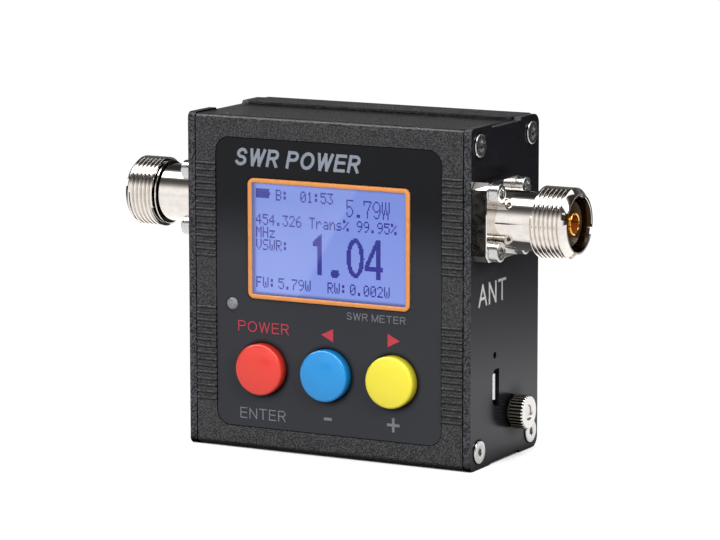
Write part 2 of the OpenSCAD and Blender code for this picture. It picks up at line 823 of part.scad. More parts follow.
module coupler_shield() {
    inside = shield_len - 2 * shield_sheet;
    mouth_w = strip_w + 2 * shield_gap;
    color("#c4c6c8") placed() translate([0, board_rear_y, jack_z]) difference() {
        translate([-shield_len / 2, 0, -shield_w / 2]) cube([shield_len, shield_h, shield_w]);
        translate([-inside / 2, -cut, -shield_w / 2 + shield_sheet])
            cube([inside, shield_h - shield_sheet + cut, shield_w - 2 * shield_sheet]);
        translate([-shield_len / 2 - cut, -cut, -mouth_w / 2])
            cube([shield_sheet + 2 * cut, strip_t + shield_gap + cut, mouth_w]);
    }
}

module usb_socket() {
    back = plate_out - usb_sink - usb_len;
    tongue_h = usb_h / 4;
    color("#d4d6d8") placed() {
        difference() {
            along_x(back, usb_len) usb_outline(0);
            along_x(back + usb_skin, usb_len) usb_outline(-usb_skin);
        }
        translate([back, board_rear_y + usb_h / 2, usb_z - usb_w / 4])
            cube([usb_len - usb_skin, tongue_h, usb_w / 2]);
    }
}

module charge_light() {
    color("#e9e4d0") placed()
        translate([board_len / 2 - charge_led, board_rear_y, pinhole_z - charge_led / 2])
            cube([charge_led, charge_led, charge_led]);
}

module battery_cell() {
    color("#b9bcc2") placed() slab(0, mid_h, cell_y, cell_t, cell_w, cell_h, cell_r);
}

module battery_tape() {
    color("#e8e6dc") placed() slab(0, mid_h, cell_y + cell_t, tape_t,
        cell_w - 2 * tape_margin, cell_h - 2 * tape_margin, cell_r);
}

module battery_connector() {
    color("#f1efe6") placed()
        translate([lead_x - connector_w / 2, board_rear_y, mid_h - connector_len / 2])
            cube([connector_w, connector_h, connector_len]);
}

module battery_leads() {
    start = board_rear_y + connector_h;
    color("#c23b2e") placed() for (side = [-1, 1])
        translate([lead_x, lead_y, mid_h + side * lead_pitch / 2]) {
            facing_front(0, 0, 0) cylinder(r = lead_r, h = lead_y - start);
            sphere(lead_r);
            rotate([0, 90, 0]) cylinder(r = lead_r, h = lead_offset);
        }
}

// A jack's pieces, drawn with the end plate's outer face at z = 0 and the flange seated at height seat

module jack_flange(t) {
    linear_extrude(t) intersection() {
        square(flange_w, center = true);
        rotate(45) square(sqrt(2) * (flange_w - flange_bevel), center = true);
    }
}

module jack_shell(seat) {
    barrel_top = flange_t + barrel_len;
    thread_top = barrel_top + shoulder_len + thread_len;
    translate([0, 0, seat]) difference() {
        union() {
            jack_flange(flange_t);
            rotate_extrude() polygon([[0, 0], [barrel_r, 0], [barrel_r, barrel_top],
                [thread_r, barrel_top + shoulder_len], [thread_r, thread_top],
                [thread_r - rim_bevel, rim_h], [0, rim_h]]);
        }
        translate([0, 0, -cut]) cylinder(r = insulator_stem_r + press_gap, h = rim_h + 2 * cut);
        translate([0, 0, socket_floor]) cylinder(r = socket_r, h = socket_depth + cut);
        flange_places() translate([0, 0, -cut])
            cylinder(r = jack_screw_r + jack_screw_gap, h = flange_t + 2 * cut);
        for (i = [0:3]) rotate(90 * i - notch_turn)
            translate([insulator_r, -notch_w / 2, rim_h - notch_depth])
                cube([thread_r, notch_w, notch_depth + cut]);
    }
}

module jack_insulator(seat) {
    face = seat + rim_h - insulator_sink;
    floor_h = seat + socket_floor;
    difference() {
        union() {
            translate([0, 0, -plate_t]) cylinder(r = insulator_stem_r, h = plate_t + floor_h);
            translate([0, 0, floor_h]) cylinder(r = socket_r - press_gap, h = insulator_seat);
            translate([0, 0, floor_h]) cylinder(r = insulator_r, h = face - floor_h);
        }
        translate([0, 0, floor_h]) cylinder(r = contact_r + press_gap, h = socket_depth + cut);
        translate([0, 0, -plate_t - cut]) cylinder(r = pin_r + press_gap, h = plate_t + floor_h + 2 * cut);
    }
}

module jack_contact(seat) {
    floor_h = seat + socket_floor;
    top = seat + rim_h - contact_sink;
    difference() {
        union() {
            translate([0, 0, -plate_t - pin_reach]) cylinder(r = pin_r, h = plate_t + pin_reach + floor_h);
            translate([0, 0, floor_h]) cylinder(r = contact_r, h = top - floor_h);
        }
        translate([0, 0, top - contact_bore_len]) cylinder(r = contact_bore_r, h = contact_bore_len + cut);
    }
}

module jack_washers(seat) {
    flange_places() translate([0, 0, seat + flange_t]) difference() {
        cylinder(r = washer_r, h = washer_t);
        translate([0, 0, -cut]) cylinder(r = jack_screw_r + jack_screw_gap, h = washer_t + 2 * cut);
    }
}

module jack_screws(seat) {
    under_head = seat + flange_t + washer_t;
    flange_places() difference() {
        union() {
            translate([0, 0, -plate_t]) cylinder(r = jack_screw_r, h = plate_t + under_head);
            translate([0, 0, under_head]) cylinder(r = jack_head_r, h = jack_head_h);
        }
        translate([0, 0, under_head + jack_head_h - jack_hex_depth])
            linear_extrude(jack_hex_depth + cut) hexagon(jack_hex);
    }
}

module ant_jack_shell() { color("#d9d4cd") placed() on_right(ant_y, jack_z) jack_shell(spacer_t); }
module ant_jack_insulator() { color("#3a2b1c") placed() on_right(ant_y, jack_z) jack_insulator(spacer_t); }
module ant_jack_contact() { color("#d8a640") placed() on_right(ant_y, jack_z) jack_contact(spacer_t); }
module ant_jack_screws() { color("#cfd0d2") placed() on_right(ant_y, jack_z) jack_screws(spacer_t); }
module ant_jack_washers() { color("#bfc0c2") placed() on_right(ant_y, jack_z) jack_washers(spacer_t); }
module tx_jack_shell() { color("#d9d4cd") placed() on_left(tx_y, jack_z) jack_shell(0); }
module tx_jack_insulator() { color("#3a2b1c") placed() on_left(tx_y, jack_z) jack_insulator(0); }
module tx_jack_contact() { color("#d8a640") placed() on_left(tx_y, jack_z) jack_contact(0); }
module tx_jack_screws() { color("#cfd0d2") placed() on_left(tx_y, jack_z) jack_screws(0); }
module tx_jack_washers() { color("#bfc0c2") placed() on_left(tx_y, jack_z) jack_washers(0); }

module ant_jack_spacer() {
    color("#d9d4cd") placed() on_right(ant_y, jack_z) difference() {
        jack_flange(spacer_t);
        translate([0, 0, -cut]) cylinder(r = insulator_stem_r + stem_gap, h = spacer_t + 2 * cut);
        flange_places() translate([0, 0, -cut])
            cylinder(r = jack_screw_r + jack_screw_gap, h = spacer_t + 2 * cut);
    }
}

module ground_stud() {
    end = ground_washer_t + knob_len - stud_sink;
    tail = plate_t + ground_nut_t + stud_tail;
    color("#c9cbce") placed() on_right(ground_y, ground_z) translate([0, 0, -tail])
        cylinder(r = stud_r, h = tail + end);
}

module ground_nut() {
    color("#b9bbbe") placed() on_right(ground_y, ground_z) translate([0, 0, -plate_t - ground_nut_t])
        linear_extrude(ground_nut_t) difference() {
            hexagon(ground_nut_w);
            circle(stud_r + press_gap);
        }
}

module ground_washer() {
    color("#b9bbbe") placed() on_right(ground_y, ground_z) linear_extrude(ground_washer_t) difference() {
        circle(ground_washer_r);
        circle(stud_r + knob_fit);
    }
}

// Straight knurl: a round knob with a row of V grooves
module ground_knob() {
    v_side = tooth_depth * sqrt(2);
    color("#1c1c1e") placed() on_right(ground_y, ground_z) translate([0, 0, ground_washer_t])
        linear_extrude(knob_len) difference() {
            circle(knob_r);
            circle(stud_r + knob_fit);
            for (i = [0:knob_teeth - 1]) rotate(360 / knob_teeth * i) translate([knob_r, 0]) rotate(45)
                square(v_side, center = true);
        }
}

front_shell();
rear_shell();
left_end_plate();
right_end_plate();
left_plate_screws();
right_plate_screws();
front_panel();
display_bezel();
display_window();
lcd_cell();
lcd_backlight();
display_board();
display_header();
status_led();
power_cap();
minus_cap();
plus_cap();
power_plunger();
minus_plunger();
plus_plunger();
switch_bodies();
main_board();
microcontroller();
through_line();
coupler_shield();
usb_socket();
charge_light();
battery_cell();
battery_tape();
battery_connector();
battery_leads();
ant_jack_shell();
ant_jack_insulator();
ant_jack_contact();
ant_jack_spacer();
ant_jack_screws();
ant_jack_washers();
tx_jack_shell();
tx_jack_insulator();
tx_jack_contact();
tx_jack_screws();
tx_jack_washers();
ground_stud();
ground_nut();
ground_washer();
ground_knob();
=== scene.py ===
"""Looks of a small SWR and power meter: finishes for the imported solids, and finer pieces over them."""
import math

import bmesh
import bpy
from mathutils import Matrix, Vector


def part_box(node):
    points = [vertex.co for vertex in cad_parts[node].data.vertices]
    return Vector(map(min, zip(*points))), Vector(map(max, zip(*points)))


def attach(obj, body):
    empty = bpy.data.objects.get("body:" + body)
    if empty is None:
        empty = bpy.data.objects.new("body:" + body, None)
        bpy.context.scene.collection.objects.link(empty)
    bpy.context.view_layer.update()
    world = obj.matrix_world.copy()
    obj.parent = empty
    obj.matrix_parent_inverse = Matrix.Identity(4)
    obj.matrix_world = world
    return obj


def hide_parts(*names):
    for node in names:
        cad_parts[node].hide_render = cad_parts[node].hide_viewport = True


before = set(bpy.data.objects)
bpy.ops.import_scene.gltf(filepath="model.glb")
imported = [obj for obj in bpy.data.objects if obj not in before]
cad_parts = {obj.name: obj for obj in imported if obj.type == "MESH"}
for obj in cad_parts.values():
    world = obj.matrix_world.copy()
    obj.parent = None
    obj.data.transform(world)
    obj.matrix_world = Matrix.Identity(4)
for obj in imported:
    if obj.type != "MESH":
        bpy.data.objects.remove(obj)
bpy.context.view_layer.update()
scene = bpy.context.scene
MM = 0.001


def linear(colour):
    """An sRGB hex colour as linear RGBA."""
    parts = [int(colour[i:i + 2], 16) / 255 for i in (1, 3, 5)]
    return [c / 12.92 if c <= 0.04045 else ((c + 0.055) / 1.055) ** 2.4 for c in parts] + [1.0]


def add(tree, kind, inputs=None, stops=(), **settings):
    """Adds a node, sets it, fills its inputs with values or links, and gives a ramp its stops."""
    node = tree.nodes.new(kind)
    for key, value in settings.items():
        setattr(node, key, value)
    for socket, value in (inputs or {}).items():
        if isinstance(value, bpy.types.NodeSocket):
            tree.links.new(value, node.inputs[socket])
        else:
            node.inputs[socket].default_value = value
    for k, (where, tone) in enumerate(stops):
        stop = node.color_ramp.elements[k] if k < 2 else node.color_ramp.elements.new(1.0)
        stop.position, stop.color = where, linear(tone) if isinstance(tone, str) else (tone, tone, tone, 1)
    return node


def combine(tree, how, first, second=0.0):
    """The result of a math node on two values or links."""
    return add(tree, "ShaderNodeMath", {0: first, 1: second}, operation=how).outputs[0]


def mixed(tree, share, first, second, **settings):
    """The mix of two colours or links."""
    return add(tree, "ShaderNodeMix", {0: share, 6: first, 7: second}, data_type="RGBA", **settings).outputs[2]


def axes(tree, kind="Object"):
    """The X, Y and Z of a texture coordinate."""
    return add(tree, "ShaderNodeSeparateXYZ", {0: add(tree, "ShaderNodeTexCoord").outputs[kind]}).outputs


def opened(coat):
    """A finish's node tree and its main shader."""
    return coat.node_tree, coat.node_tree.nodes["Principled BSDF"]


def feeds(shader, socket):
    """What is linked to one of a shader's inputs."""
    return shader.inputs[socket].links[0].from_socket


def finish(name, deep, pale, grain, rough, relief=0.0, stretch=(1, 1, 1), spread=(0.35, 0.65), **fixed):
    """A finish whose colour, gloss and relief follow one grain: its size in mm, two colours, two roughnesses."""
    made = bpy.data.materials.new(name)
    made.use_nodes = True
    tree, shader = opened(made)
    at = add(tree, "ShaderNodeTexCoord").outputs["Object"]
    sized = add(tree, "ShaderNodeMapping", {"Vector": at, "Scale": [s / (grain * MM) for s in stretch]})
    noise = add(tree, "ShaderNodeTexNoise", {"Vector": sized.outputs[0], "Scale": 1.0, "Detail": 2.0})
    ramp = add(tree, "ShaderNodeValToRGB", {"Fac": noise.outputs["Fac"]}, stops=zip(spread, (deep, pale)))
    gloss = add(tree, "ShaderNodeMapRange", {"Value": noise.outputs["Fac"], "From Min": spread[0],
                "From Max": spread[1], "To Min": rough[0], "To Max": rough[1]})
    tree.links.new(ramp.outputs["Color"], shader.inputs["Base Color"])
    tree.links.new(gloss.outputs["Result"], shader.inputs["Roughness"])
    if relief:
        bump = add(tree, "ShaderNodeBump", {"Height": noise.outputs["Fac"], "Distance": relief * MM})
        tree.links.new(bump.outputs["Normal"], shader.inputs["Normal"])
    for socket, value in fixed.items():
        shader.inputs[socket.replace("_", " ")].default_value = value
    return made


# Bead blasted and black anodised aluminium: fine sparkling grit, drawn at 0.32 mm so that it shows
blasted_aluminium = finish("blasted_aluminium", "#040405", "#48484b", 0.32, (0.34, 0.22), relief=0.095,
                           spread=(0.44, 0.64), Specular_IOR_Level=0.4)
# Satin black anodised sheet: a smooth dark skin that mirrors the table softly
satin_aluminium = finish("satin_aluminium", "#1c1c21", "#202025", 1.2, (0.2, 0.24), relief=0.002,
                         Specular_IOR_Level=0.17, Specular_Tint=(0.84, 0.86, 0.98, 1))
# The plates' narrow edges are blasted like the shells, so the grit comes in where the surface turns from the side
tree, shader = opened(satin_aluminium)
EDGE_GRIT, EDGE_RELIEF, EDGE_ROUGH = 0.35, 0.09, 0.3
spot = add(tree, "ShaderNodeTexCoord").outputs["Object"]
across = axes(tree, "Normal")["X"]
flat = combine(tree, "MULTIPLY", across, across)
turned = combine(tree, "SUBTRACT", 1.0, flat)
grit = add(tree, "ShaderNodeTexNoise", {"Vector": spot, "Scale": 1 / (EDGE_GRIT * MM), "Detail": 2.0}).outputs["Fac"]
pits = add(tree, "ShaderNodeValToRGB", {"Fac": grit}, stops=((0.4, "#1c1c1e"), (0.64, "#57575b")))
skin = mixed(tree, flat, pits.outputs["Color"], feeds(shader, "Base Color"))
gloss = add(tree, "ShaderNodeMix", {0: flat, 2: EDGE_ROUGH, 3: feeds(shader, "Roughness")})
bump = add(tree, "ShaderNodeBump", {"Height": grit, "Distance": EDGE_RELIEF * MM, "Strength": turned,
                                    "Normal": feeds(shader, "Normal")})
tree.links.new(skin, shader.inputs["Base Color"])
tree.links.new(gloss.outputs[0], shader.inputs["Roughness"])
tree.links.new(bump.outputs["Normal"], shader.inputs["Normal"])
# Back-printed polycarbonate overlay: a black film with a very fine velvet texture; its colour carries painted light,
# paler towards the bottom
polycarbonate_film = finish("polycarbonate_film", "#111215", "#15161a", 0.3, (0.22, 0.26), relief=0.001,
                            Specular_IOR_Level=0.15)
tree, shader = opened(polycarbonate_film)
# Painted light: the film goes from its own black at the top to a paler grey towards the bottom
painted_light_mask = add(tree, "ShaderNodeMapRange", {"Value": axes(tree)["Z"], "From Min": 42 * MM, "From Max": 59 * MM},
            interpolation_type="SMOOTHSTEP").outputs[0]
painted_light_tone = mixed(tree, painted_light_mask, linear("#34353a"), feeds(shader, "Base Color"))
tree.links.new(painted_light_tone, shader.inputs["Base Color"])
# Moulded orange ABS: an opaque glossy frame, a little uneven where it cooled
orange_abs = finish("orange_abs", "#e69650", "#e79852", 3.0, (0.24, 0.3), relief=0.002)
# Cast acrylic: clear and polished, so that it mirrors the table over the glowing cell
clear_acrylic = finish("clear_acrylic", "#fbfcff", "#ffffff", 20.0, (0.0, 0.004), Transmission_Weight=1.0, IOR=1.49)
# Moulded ABS button caps: even colour with a satin skin
red_abs = finish("red_abs", "#ee3e31", "#ef4033", 2.0, (0.14, 0.18), relief=0.0005)
blue_abs = finish("blue_abs", "#1e95e0", "#2097e2", 2.0, (0.14, 0.18), relief=0.0005)
yellow_abs = finish("yellow_abs", "#fcea3e", "#fdec40", 2.0, (0.14, 0.18), relief=0.0005)
# Painted shade: ambient occlusion darkens these skins in slots and at the feet of ribs and caps, and the case's
# undersides darken where they face down; each has a reach in mm, and the share of its tone that is left on undersides
for skin, reach, least in ((blasted_aluminium, 0.8, 0.3), (satin_aluminium, 4.0, 0.3),
                           (polycarbonate_film, 1.2, 1.0), (red_abs, 2.5, 1.0), (blue_abs, 2.5, 1.0),
                           (yellow_abs, 2.5, 1.0)):
    tree, shader = opened(skin)
    open_sky = add(tree, "ShaderNodeAmbientOcclusion", {"Distance": reach * MM}, samples=6).outputs["AO"]
    underside_shade = add(tree, "ShaderNodeMapRange", {"Value": axes(tree, "Normal")["Z"], "From Min": -0.45,
                                             "From Max": -0.05, "To Min": least}).outputs[0]
    # painted shade: the occlusion squared, times the darkening of faces that turn down
    painted_shade = combine(tree, "MULTIPLY", combine(tree, "POWER", open_sky, 2.0), underside_shade)
    tone = mixed(tree, 1.0, feeds(shader, "Base Color"), painted_shade, blend_type="MULTIPLY")
    sheen = combine(tree, "MULTIPLY", painted_shade, shader.inputs["Specular IOR Level"].default_value)
    tree.links.new(tone, shader.inputs["Base Color"])
    tree.links.new(sheen, shader.inputs["Specular IOR Level"])
# Polished nickel plate: a warm mirror with hardly visible polishing waves
nickel_plate = finish("nickel_plate", "#ddd6cf", "#e6e0da", 1.5, (0.04, 0.06), relief=0.0005, Metallic=1.0)
# Nickel in grooves and thread roots, which no polishing reaches: dull, and dark with painted shade
shaded_dull_nickel = finish("shaded_dull_nickel", "#332c26", "#41382f", 0.5, (0.3, 0.4), relief=0.004, Metallic=1.0)
# Plain stainless screws: turned and tumbled, so a satin grey metal with fine rings blurred together
stainless_steel = finish("stainless_steel", "#bdbcba", "#d3d2d0", 0.3, (0.18, 0.28), relief=0.004, Metallic=1.0)
# Phenolic resin: dark brown, slightly mottled by its filler
phenolic_resin = finish("phenolic_resin", "#2e1c08", "#40290e", 0.4, (0.4, 0.5), relief=0.01,
                        Specular_IOR_Level=0.05)
# Gold plate on brass: a warm mirror
gold_plate = finish("gold_plate", "#e3a94a", "#efbe62", 0.6, (0.12, 0.18), relief=0.001, Metallic=1.0)
# Brass inside the contact's bore: brown and dull
bore_brass = finish("bore_brass", "#b4561c", "#c8702c", 0.3, (0.4, 0.55), relief=0.01, Metallic=0.3)
# Black nickel on a knurled brass knob: a grey sheen, which stays on the tooth crests as the grooves take painted
# shade
black_nickel = finish("black_nickel", "#67625a", "#746f66", 0.5, (0.3, 0.36), Metallic=0.3)
# Turned bare brass under nickel: pale metal with fine tool marks
turned_metal = finish("turned_metal", "#cfccc8", "#e2dfdb", 0.2, (0.26, 0.36), relief=0.004, Metallic=1.0)
# Diffused epoxy lens of an unlit light: milky grey
epoxy_lens = finish("epoxy_lens", "#77777a", "#8b8b8e", 0.8, (0.22, 0.3), relief=0.004)
# Screen printing ink: matt and opaque, with the pinholes of the mesh
red_ink = finish("red_ink", "#b43643", "#be3e4c", 0.15, (0.5, 0.6), relief=0.002)
grey_ink = finish("grey_ink", "#6c7076", "#7a7e84", 0.15, (0.5, 0.6), relief=0.002)
silver_ink = finish("silver_ink", "#848b97", "#929aa6", 0.15, (0.5, 0.6), relief=0.002)
pale_ink = finish("pale_ink", "#e8e8ea", "#f2f2f3", 0.15, (0.5, 0.6), relief=0.002)
# Solder mask over woven glass board: glossy green with the weave just showing, its threads drawn at 0.5 mm
solder_mask = finish("solder_mask", "#0e4a26", "#14592f", 0.5, (0.25, 0.35), relief=0.01)
# Moulded epoxy of chips and switches: matt black with filler speckle
moulded_epoxy = finish("moulded_epoxy", "#161617", "#212122", 0.12, (0.5, 0.65), relief=0.006)
# Rolled copper strip, lightly tarnished
rolled_copper = finish("rolled_copper", "#b5673f", "#c97d52", 0.4, (0.25, 0.4), relief=0.002, Metallic=1.0)
# Tinned steel sheet: pale metal with rolling streaks along its length
tinned_steel = finish("tinned_steel", "#c6c8ca", "#dcdddf", 0.3, (0.2, 0.3), relief=0.002,
                      stretch=(0.1, 1, 1), Metallic=1.0)
# Laminated foil pouch: dull silver with soft creases
foil_pouch = finish("foil_pouch", "#b4b6ba", "#c9cacd", 4.0, (0.3, 0.45), relief=0.15, Metallic=0.8)
# Closed cell foam tape: chalky, with bubbles
foam_tape = finish("foam_tape", "#dedbd0", "#efece3", 0.25, (0.8, 0.9), relief=0.05)
# Moulded nylon: milky white with a slight sheen
moulded_nylon = finish("moulded_nylon", "#e2dfd4", "#eeebe2", 1.0, (0.4, 0.5), relief=0.004)
# Silicone lead: soft red rubber skin
silicone_lead = finish("silicone_lead", "#a8241c", "#bb2f26", 0.4, (0.55, 0.7), relief=0.006)
# Diffuser sheet behind the glass: white and matt
diffuser_sheet = finish("diffuser_sheet", "#f0f0ec", "#fafaf7", 0.5, (0.6, 0.7), relief=0.002)
# Liquid crystal glass over a white backlight: an even periwinkle glow
lit_crystal = finish("lit_crystal", "#7c91e0", "#7f94e3", 8.0, (0.5, 0.5), Emission_Strength=1.0,
                     Specular_IOR_Level=0.0)
# Dark dots of the display: indigo, still passing a little of the backlight
dark_crystal = finish("dark_crystal", "#1d2190", "#222695", 0.3, (0.5, 0.5), Emission_Strength=1.0,
                      Specular_IOR_Level=0.0)
for glowing in (lit_crystal, dark_crystal):
    tree, shader = opened(glowing)
    tree.links.new(feeds(shader, "Base Color"), shader.inputs["Emission Color"])
    tree.links.remove(shader.inputs["Base Color"].links[0])
    shader.inputs["Base Color"].default_value = linear("#000000")
# The glow is a little brighter towards the bottom, and a painted shadow of the frame darkens it over a narrow band at
# the cell's edges
EDGE_SHADE = 0.9
tree, shader = opened(lit_crystal)
spot = axes(tree)
sides = []
for axis, centre, half in (("X", -1.1, 19.45), ("Z", 48.3, 12.75)):
    away = combine(tree, "ABSOLUTE", combine(tree, "SUBTRACT", spot[axis], centre * MM))
    sides.append(add(tree, "ShaderNodeMapRange", {"Value": away, "From Min": (half - EDGE_SHADE) * MM,
                                                  "From Max": half * MM}, interpolation_type="SMOOTHSTEP").outputs[0])
height = add(tree, "ShaderNodeMapRange", {"Value": spot["Z"], "From Min": 36 * MM, "From Max": 56 * MM}).outputs[0]
even = mixed(tree, height, linear("#8b9eec"), feeds(shader, "Emission Color"))
glow = mixed(tree, combine(tree, "MAXIMUM", *sides), even, linear("#55639f"))
tree.links.new(glow, shader.inputs["Emission Color"])


def dress(coat, *nodes):
    """Gives CAD nodes a finish."""
    for node in nodes:
        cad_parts[node].material_slots[0].material = coat


def box(node):
    """A node's low and high corners in mm."""
    return [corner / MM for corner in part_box(node)]


def facing(out, centre):
    """A place with local z along out and local x up."""
    out, up = Vector(out), Vector((0, 0, 1))
    return Matrix.Translation(centre) @ Matrix((up, out.cross(up), out)).transposed().to_4x4()


def ring(radius, height, angles=64):
    """A circle of points; the radius may be a function of the angle."""
    turns = [2 * math.pi * i / angles for i in range(angles)] if isinstance(angles, int) else angles
    sizes = [radius(a) if callable(radius) else radius for a in turns]
    return [(r * math.cos(a), r * math.sin(a), height) for r, a in zip(sizes, turns)]


def hexagon(apothem, height, angles=48):
    """A hexagon with as many points as a ring."""
    return ring(lambda a: apothem / math.cos(a % (math.pi / 3) - math.pi / 6), height, angles)


def rounded(wide, tall, corner, height, steps=6):
    """A rounded rectangle of points, wide along local y and tall along local x."""
    loop = []
    for quarter, (sx, sy) in enumerate(((1, 1), (-1, 1), (-1, -1), (1, -1))):
        for k in range(steps + 1):
            a = math.pi / 2 * (quarter + k / steps)
            loop.append((sx * (tall / 2 - corner) + corner * math.cos(a),
                         sy * (wide / 2 - corner) + corner * math.sin(a), height))
    return loop


def bevelled(wide, corner, height):
    """A square of points with bevelled corners."""
    a, b = wide / 2, wide / 2 - corner
    return [(x, y, height) for x, y in ((a, -b), (a, b), (b, a), (-b, a), (-a, b), (-a, -b), (-b, -a), (b, -a))]


def loft(bm, loops, place=Matrix(), ends=(True, True), tube=False, tint=0):
    """Skins a form through loops of equal count, with its ends capped, or joined to a tube."""
    rows = [[bm.verts.new(place @ Vector(p)) for p in loop] for loop in loops]
    pairs = list(zip(rows, rows[1:])) + ([(rows[-1], rows[0])] if tube else [])
    faces = [bm.faces.new((a[i - 1], a[i], b[i], b[i - 1])) for a, b in pairs for i in range(len(a))]
    faces += [bm.faces.new(row) for row, cap in zip((rows[0], rows[-1]), ends) if cap and not tube]
    for face in faces:
        face.material_index = tint


def piece(name, bm, coats, body, slot, *nodes, smooth=38):
    """Makes a form in mm into a piece that rides on a body and stands for CAD nodes."""
    bmesh.ops.remove_doubles(bm, verts=bm.verts, dist=0.0005)
    bmesh.ops.dissolve_degenerate(bm, edges=bm.edges, dist=0.0005)
    bmesh.ops.recalc_face_normals(bm, faces=bm.faces)
    bmesh.ops.scale(bm, vec=(MM, MM, MM), verts=bm.verts)
    mesh = bpy.data.meshes.new(name)
    bm.to_mesh(mesh)
    bm.free()
    for coat in coats:
        mesh.materials.append(coat)
    mesh.shade_smooth()
    mesh.set_sharp_from_angle(angle=math.radians(smooth))
    made = bpy.data.objects.new(name, mesh)
    scene.collection.objects.link(made)
    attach(made, body)
    if nodes:
        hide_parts(*nodes)
    return made


def arc(radius, height, edge, steps=4):
    """Radius and height along a rounded outer edge, from the side up to the face."""
    turns = [math.pi / 2 * k / steps for k in range(steps + 1)]
    return [(radius - edge + edge * math.cos(a), height - edge + edge * math.sin(a)) for a in turns]


# Camera, fitted to the photograph's edges
lens = bpy.data.cameras.new("view")
lens.lens, lens.sensor_width = 187.93, 36.0
camera = bpy.data.objects.new("view", lens)
scene.collection.objects.link(camera)
eye, aim = Vector((392.51, -739.31, 177.02)) * MM, Vector((-1.84, 1.47, 39.99)) * MM
turned = (aim - eye).to_track_quat("-Z", "Y").to_matrix() @ Matrix.Rotation(math.radians(-0.08), 3, "Z")
camera.matrix_world = Matrix.Translation(eye) @ turned.to_4x4()
scene.camera = camera

# Finishes of the solids that stay as they are
dress(blasted_aluminium, "front_shell", "rear_shell")
dress(satin_aluminium, "left_end_plate", "right_end_plate")
dress(polycarbonate_film, "front_panel")
dress(lit_crystal, "lcd_cell")
dress(diffuser_sheet, "lcd_backlight")
dress(solder_mask, "display_board", "main_board")
dress(moulded_epoxy, "display_header", "switch_bodies", "microcontroller", "power_plunger", "minus_plunger",
      "plus_plunger")
dress(rolled_copper, "through_line")
dress(tinned_steel, "coupler_shield")
dress(moulded_nylon, "charge_light", "battery_connector")
dress(foil_pouch, "battery_cell")
dress(foam_tape, "battery_tape")
dress(silicone_lead, "battery_leads")
dress(stainless_steel, "ground_stud", "ground_nut")
dress(black_nickel, "ground_washer")


def socket_head(bm, place, radius, low, high, edge, across, deep):
    """A screw head from low to high with a hexagon socket."""
    side = [(radius - 0.1, low), (radius, low + 0.1)] + arc(radius, high, edge)
    loft(bm, [ring(r, h, 48) for r, h in side] + [ring(across * 0.62, high, 48), hexagon(across / 2, high - 0.08),
                                                  hexagon(across / 2, high - deep)], place)


# Countersunk screws of the end plates: radii of head and shank, and half the width of the key's socket
HEAD_R, SHANK_R, KEY = 2.6, 1.25, 0.76
for side, out in (("left", -1), ("right", 1)):
    low, high = box(side + "_plate_screws")
    top = low.x if out < 0 else high.x
    form = bmesh.new()
    for y in (low.y + HEAD_R, high.y - HEAD_R):
        for z in (low.z + HEAD_R, high.z - HEAD_R):
            place = facing((out, 0, 0), (top, y, z))
            shape = [(SHANK_R, -10.4), (SHANK_R, -1.5), (2.55, -0.5), (HEAD_R, -0.4)] + arc(HEAD_R, 0, 0.2)
            loft(form, [ring(r, h, 48) for r, h in shape]
                 + [ring(1, 0, 48), hexagon(KEY, -0.08), hexagon(KEY, -1.2)], place)
    piece(side + "_countersunk_screws", form, [stainless_steel], "meter", "screw_steel", side + "_plate_screws")

# Coaxial jacks: 24 turns of thread to the inch, and the radii of its crests and roots, of the neck under it and
# of the room for the plug; then the flange's thickness, and half the distance between its screws
PITCH = 25.4 / 24
CREST_R, ROOT_R, NECK_R, ROOM_R = 7.94, 7.45, 6.15, 6.1
FLANGE, SCREW_AT = 1.6, 6.35
# Radius along one pitch: broad crests with rounded edges and narrow roots
THREAD = ((0.0, ROOT_R), (0.04, ROOT_R), (0.21, 7.84), (0.24, 7.905), (0.27, 7.932), (0.31, CREST_R),
          (0.69, CREST_R), (0.73, 7.932), (0.76, 7.905), (0.79, 7.84), (0.96, ROOT_R))


def thread(bm, angles, low, high, ends, place, root):
    """A right-hand thread between two heights, with a radius at each end; root is the tint of its roots."""
    n = len(THREAD)
    rows = []
    for k in range(-n, n * (math.ceil((high - low) / PITCH) + 3)):
        part, radius = THREAD[k % n]
        row = []
        for a in angles:
            h = low + PITCH * (k // n + part + a / (2 * math.pi) - 1)
            r = radius
            if h <= low:
                h, r = low, ends[0]
            elif h >= high:
                h, r = high, ends[1]
            row.append(bm.verts.new(place @ Vector((r * math.cos(a), r * math.sin(a), h))))
        rows.append(row)
    for k in range(len(rows) - n - 1):
        after, above = rows[k + n], rows[k + n + 1]
        for i in range(len(angles)):
            quad = (rows[k][i], rows[k][i + 1] if i + 1 < len(angles) else after[0],
                    rows[k + 1][i + 1] if i + 1 < len(angles) else above[0], rows[k + 1][i])
            bm.faces.new(quad).material_index = root if k % n in (0, n - 1) else 0


def notched(count, centre, width, near=0.02):
    """Angles round a rim, with close pairs at the sides of its notches, and a test for being in a notch."""
    step = 2 * math.pi / count
    middles = [(centre + step * j) % (2 * math.pi) for j in range(count)]
    plain = [2 * math.pi * i / 120 for i in range(120)]
    sides = [(m + s * (width / 2 + d * near)) % (2 * math.pi) for m in middles for s in (-1, 1) for d in (0, 1)]
    clear = [a for a in plain if all(abs((a - b + math.pi) % (2 * math.pi) - math.pi) > near for b in sides)]
    def inside(a):
        return any(abs((a - m + math.pi) % (2 * math.pi) - math.pi) < width / 2 + near / 2 for m in middles)
    return sorted(clear + sides), inside


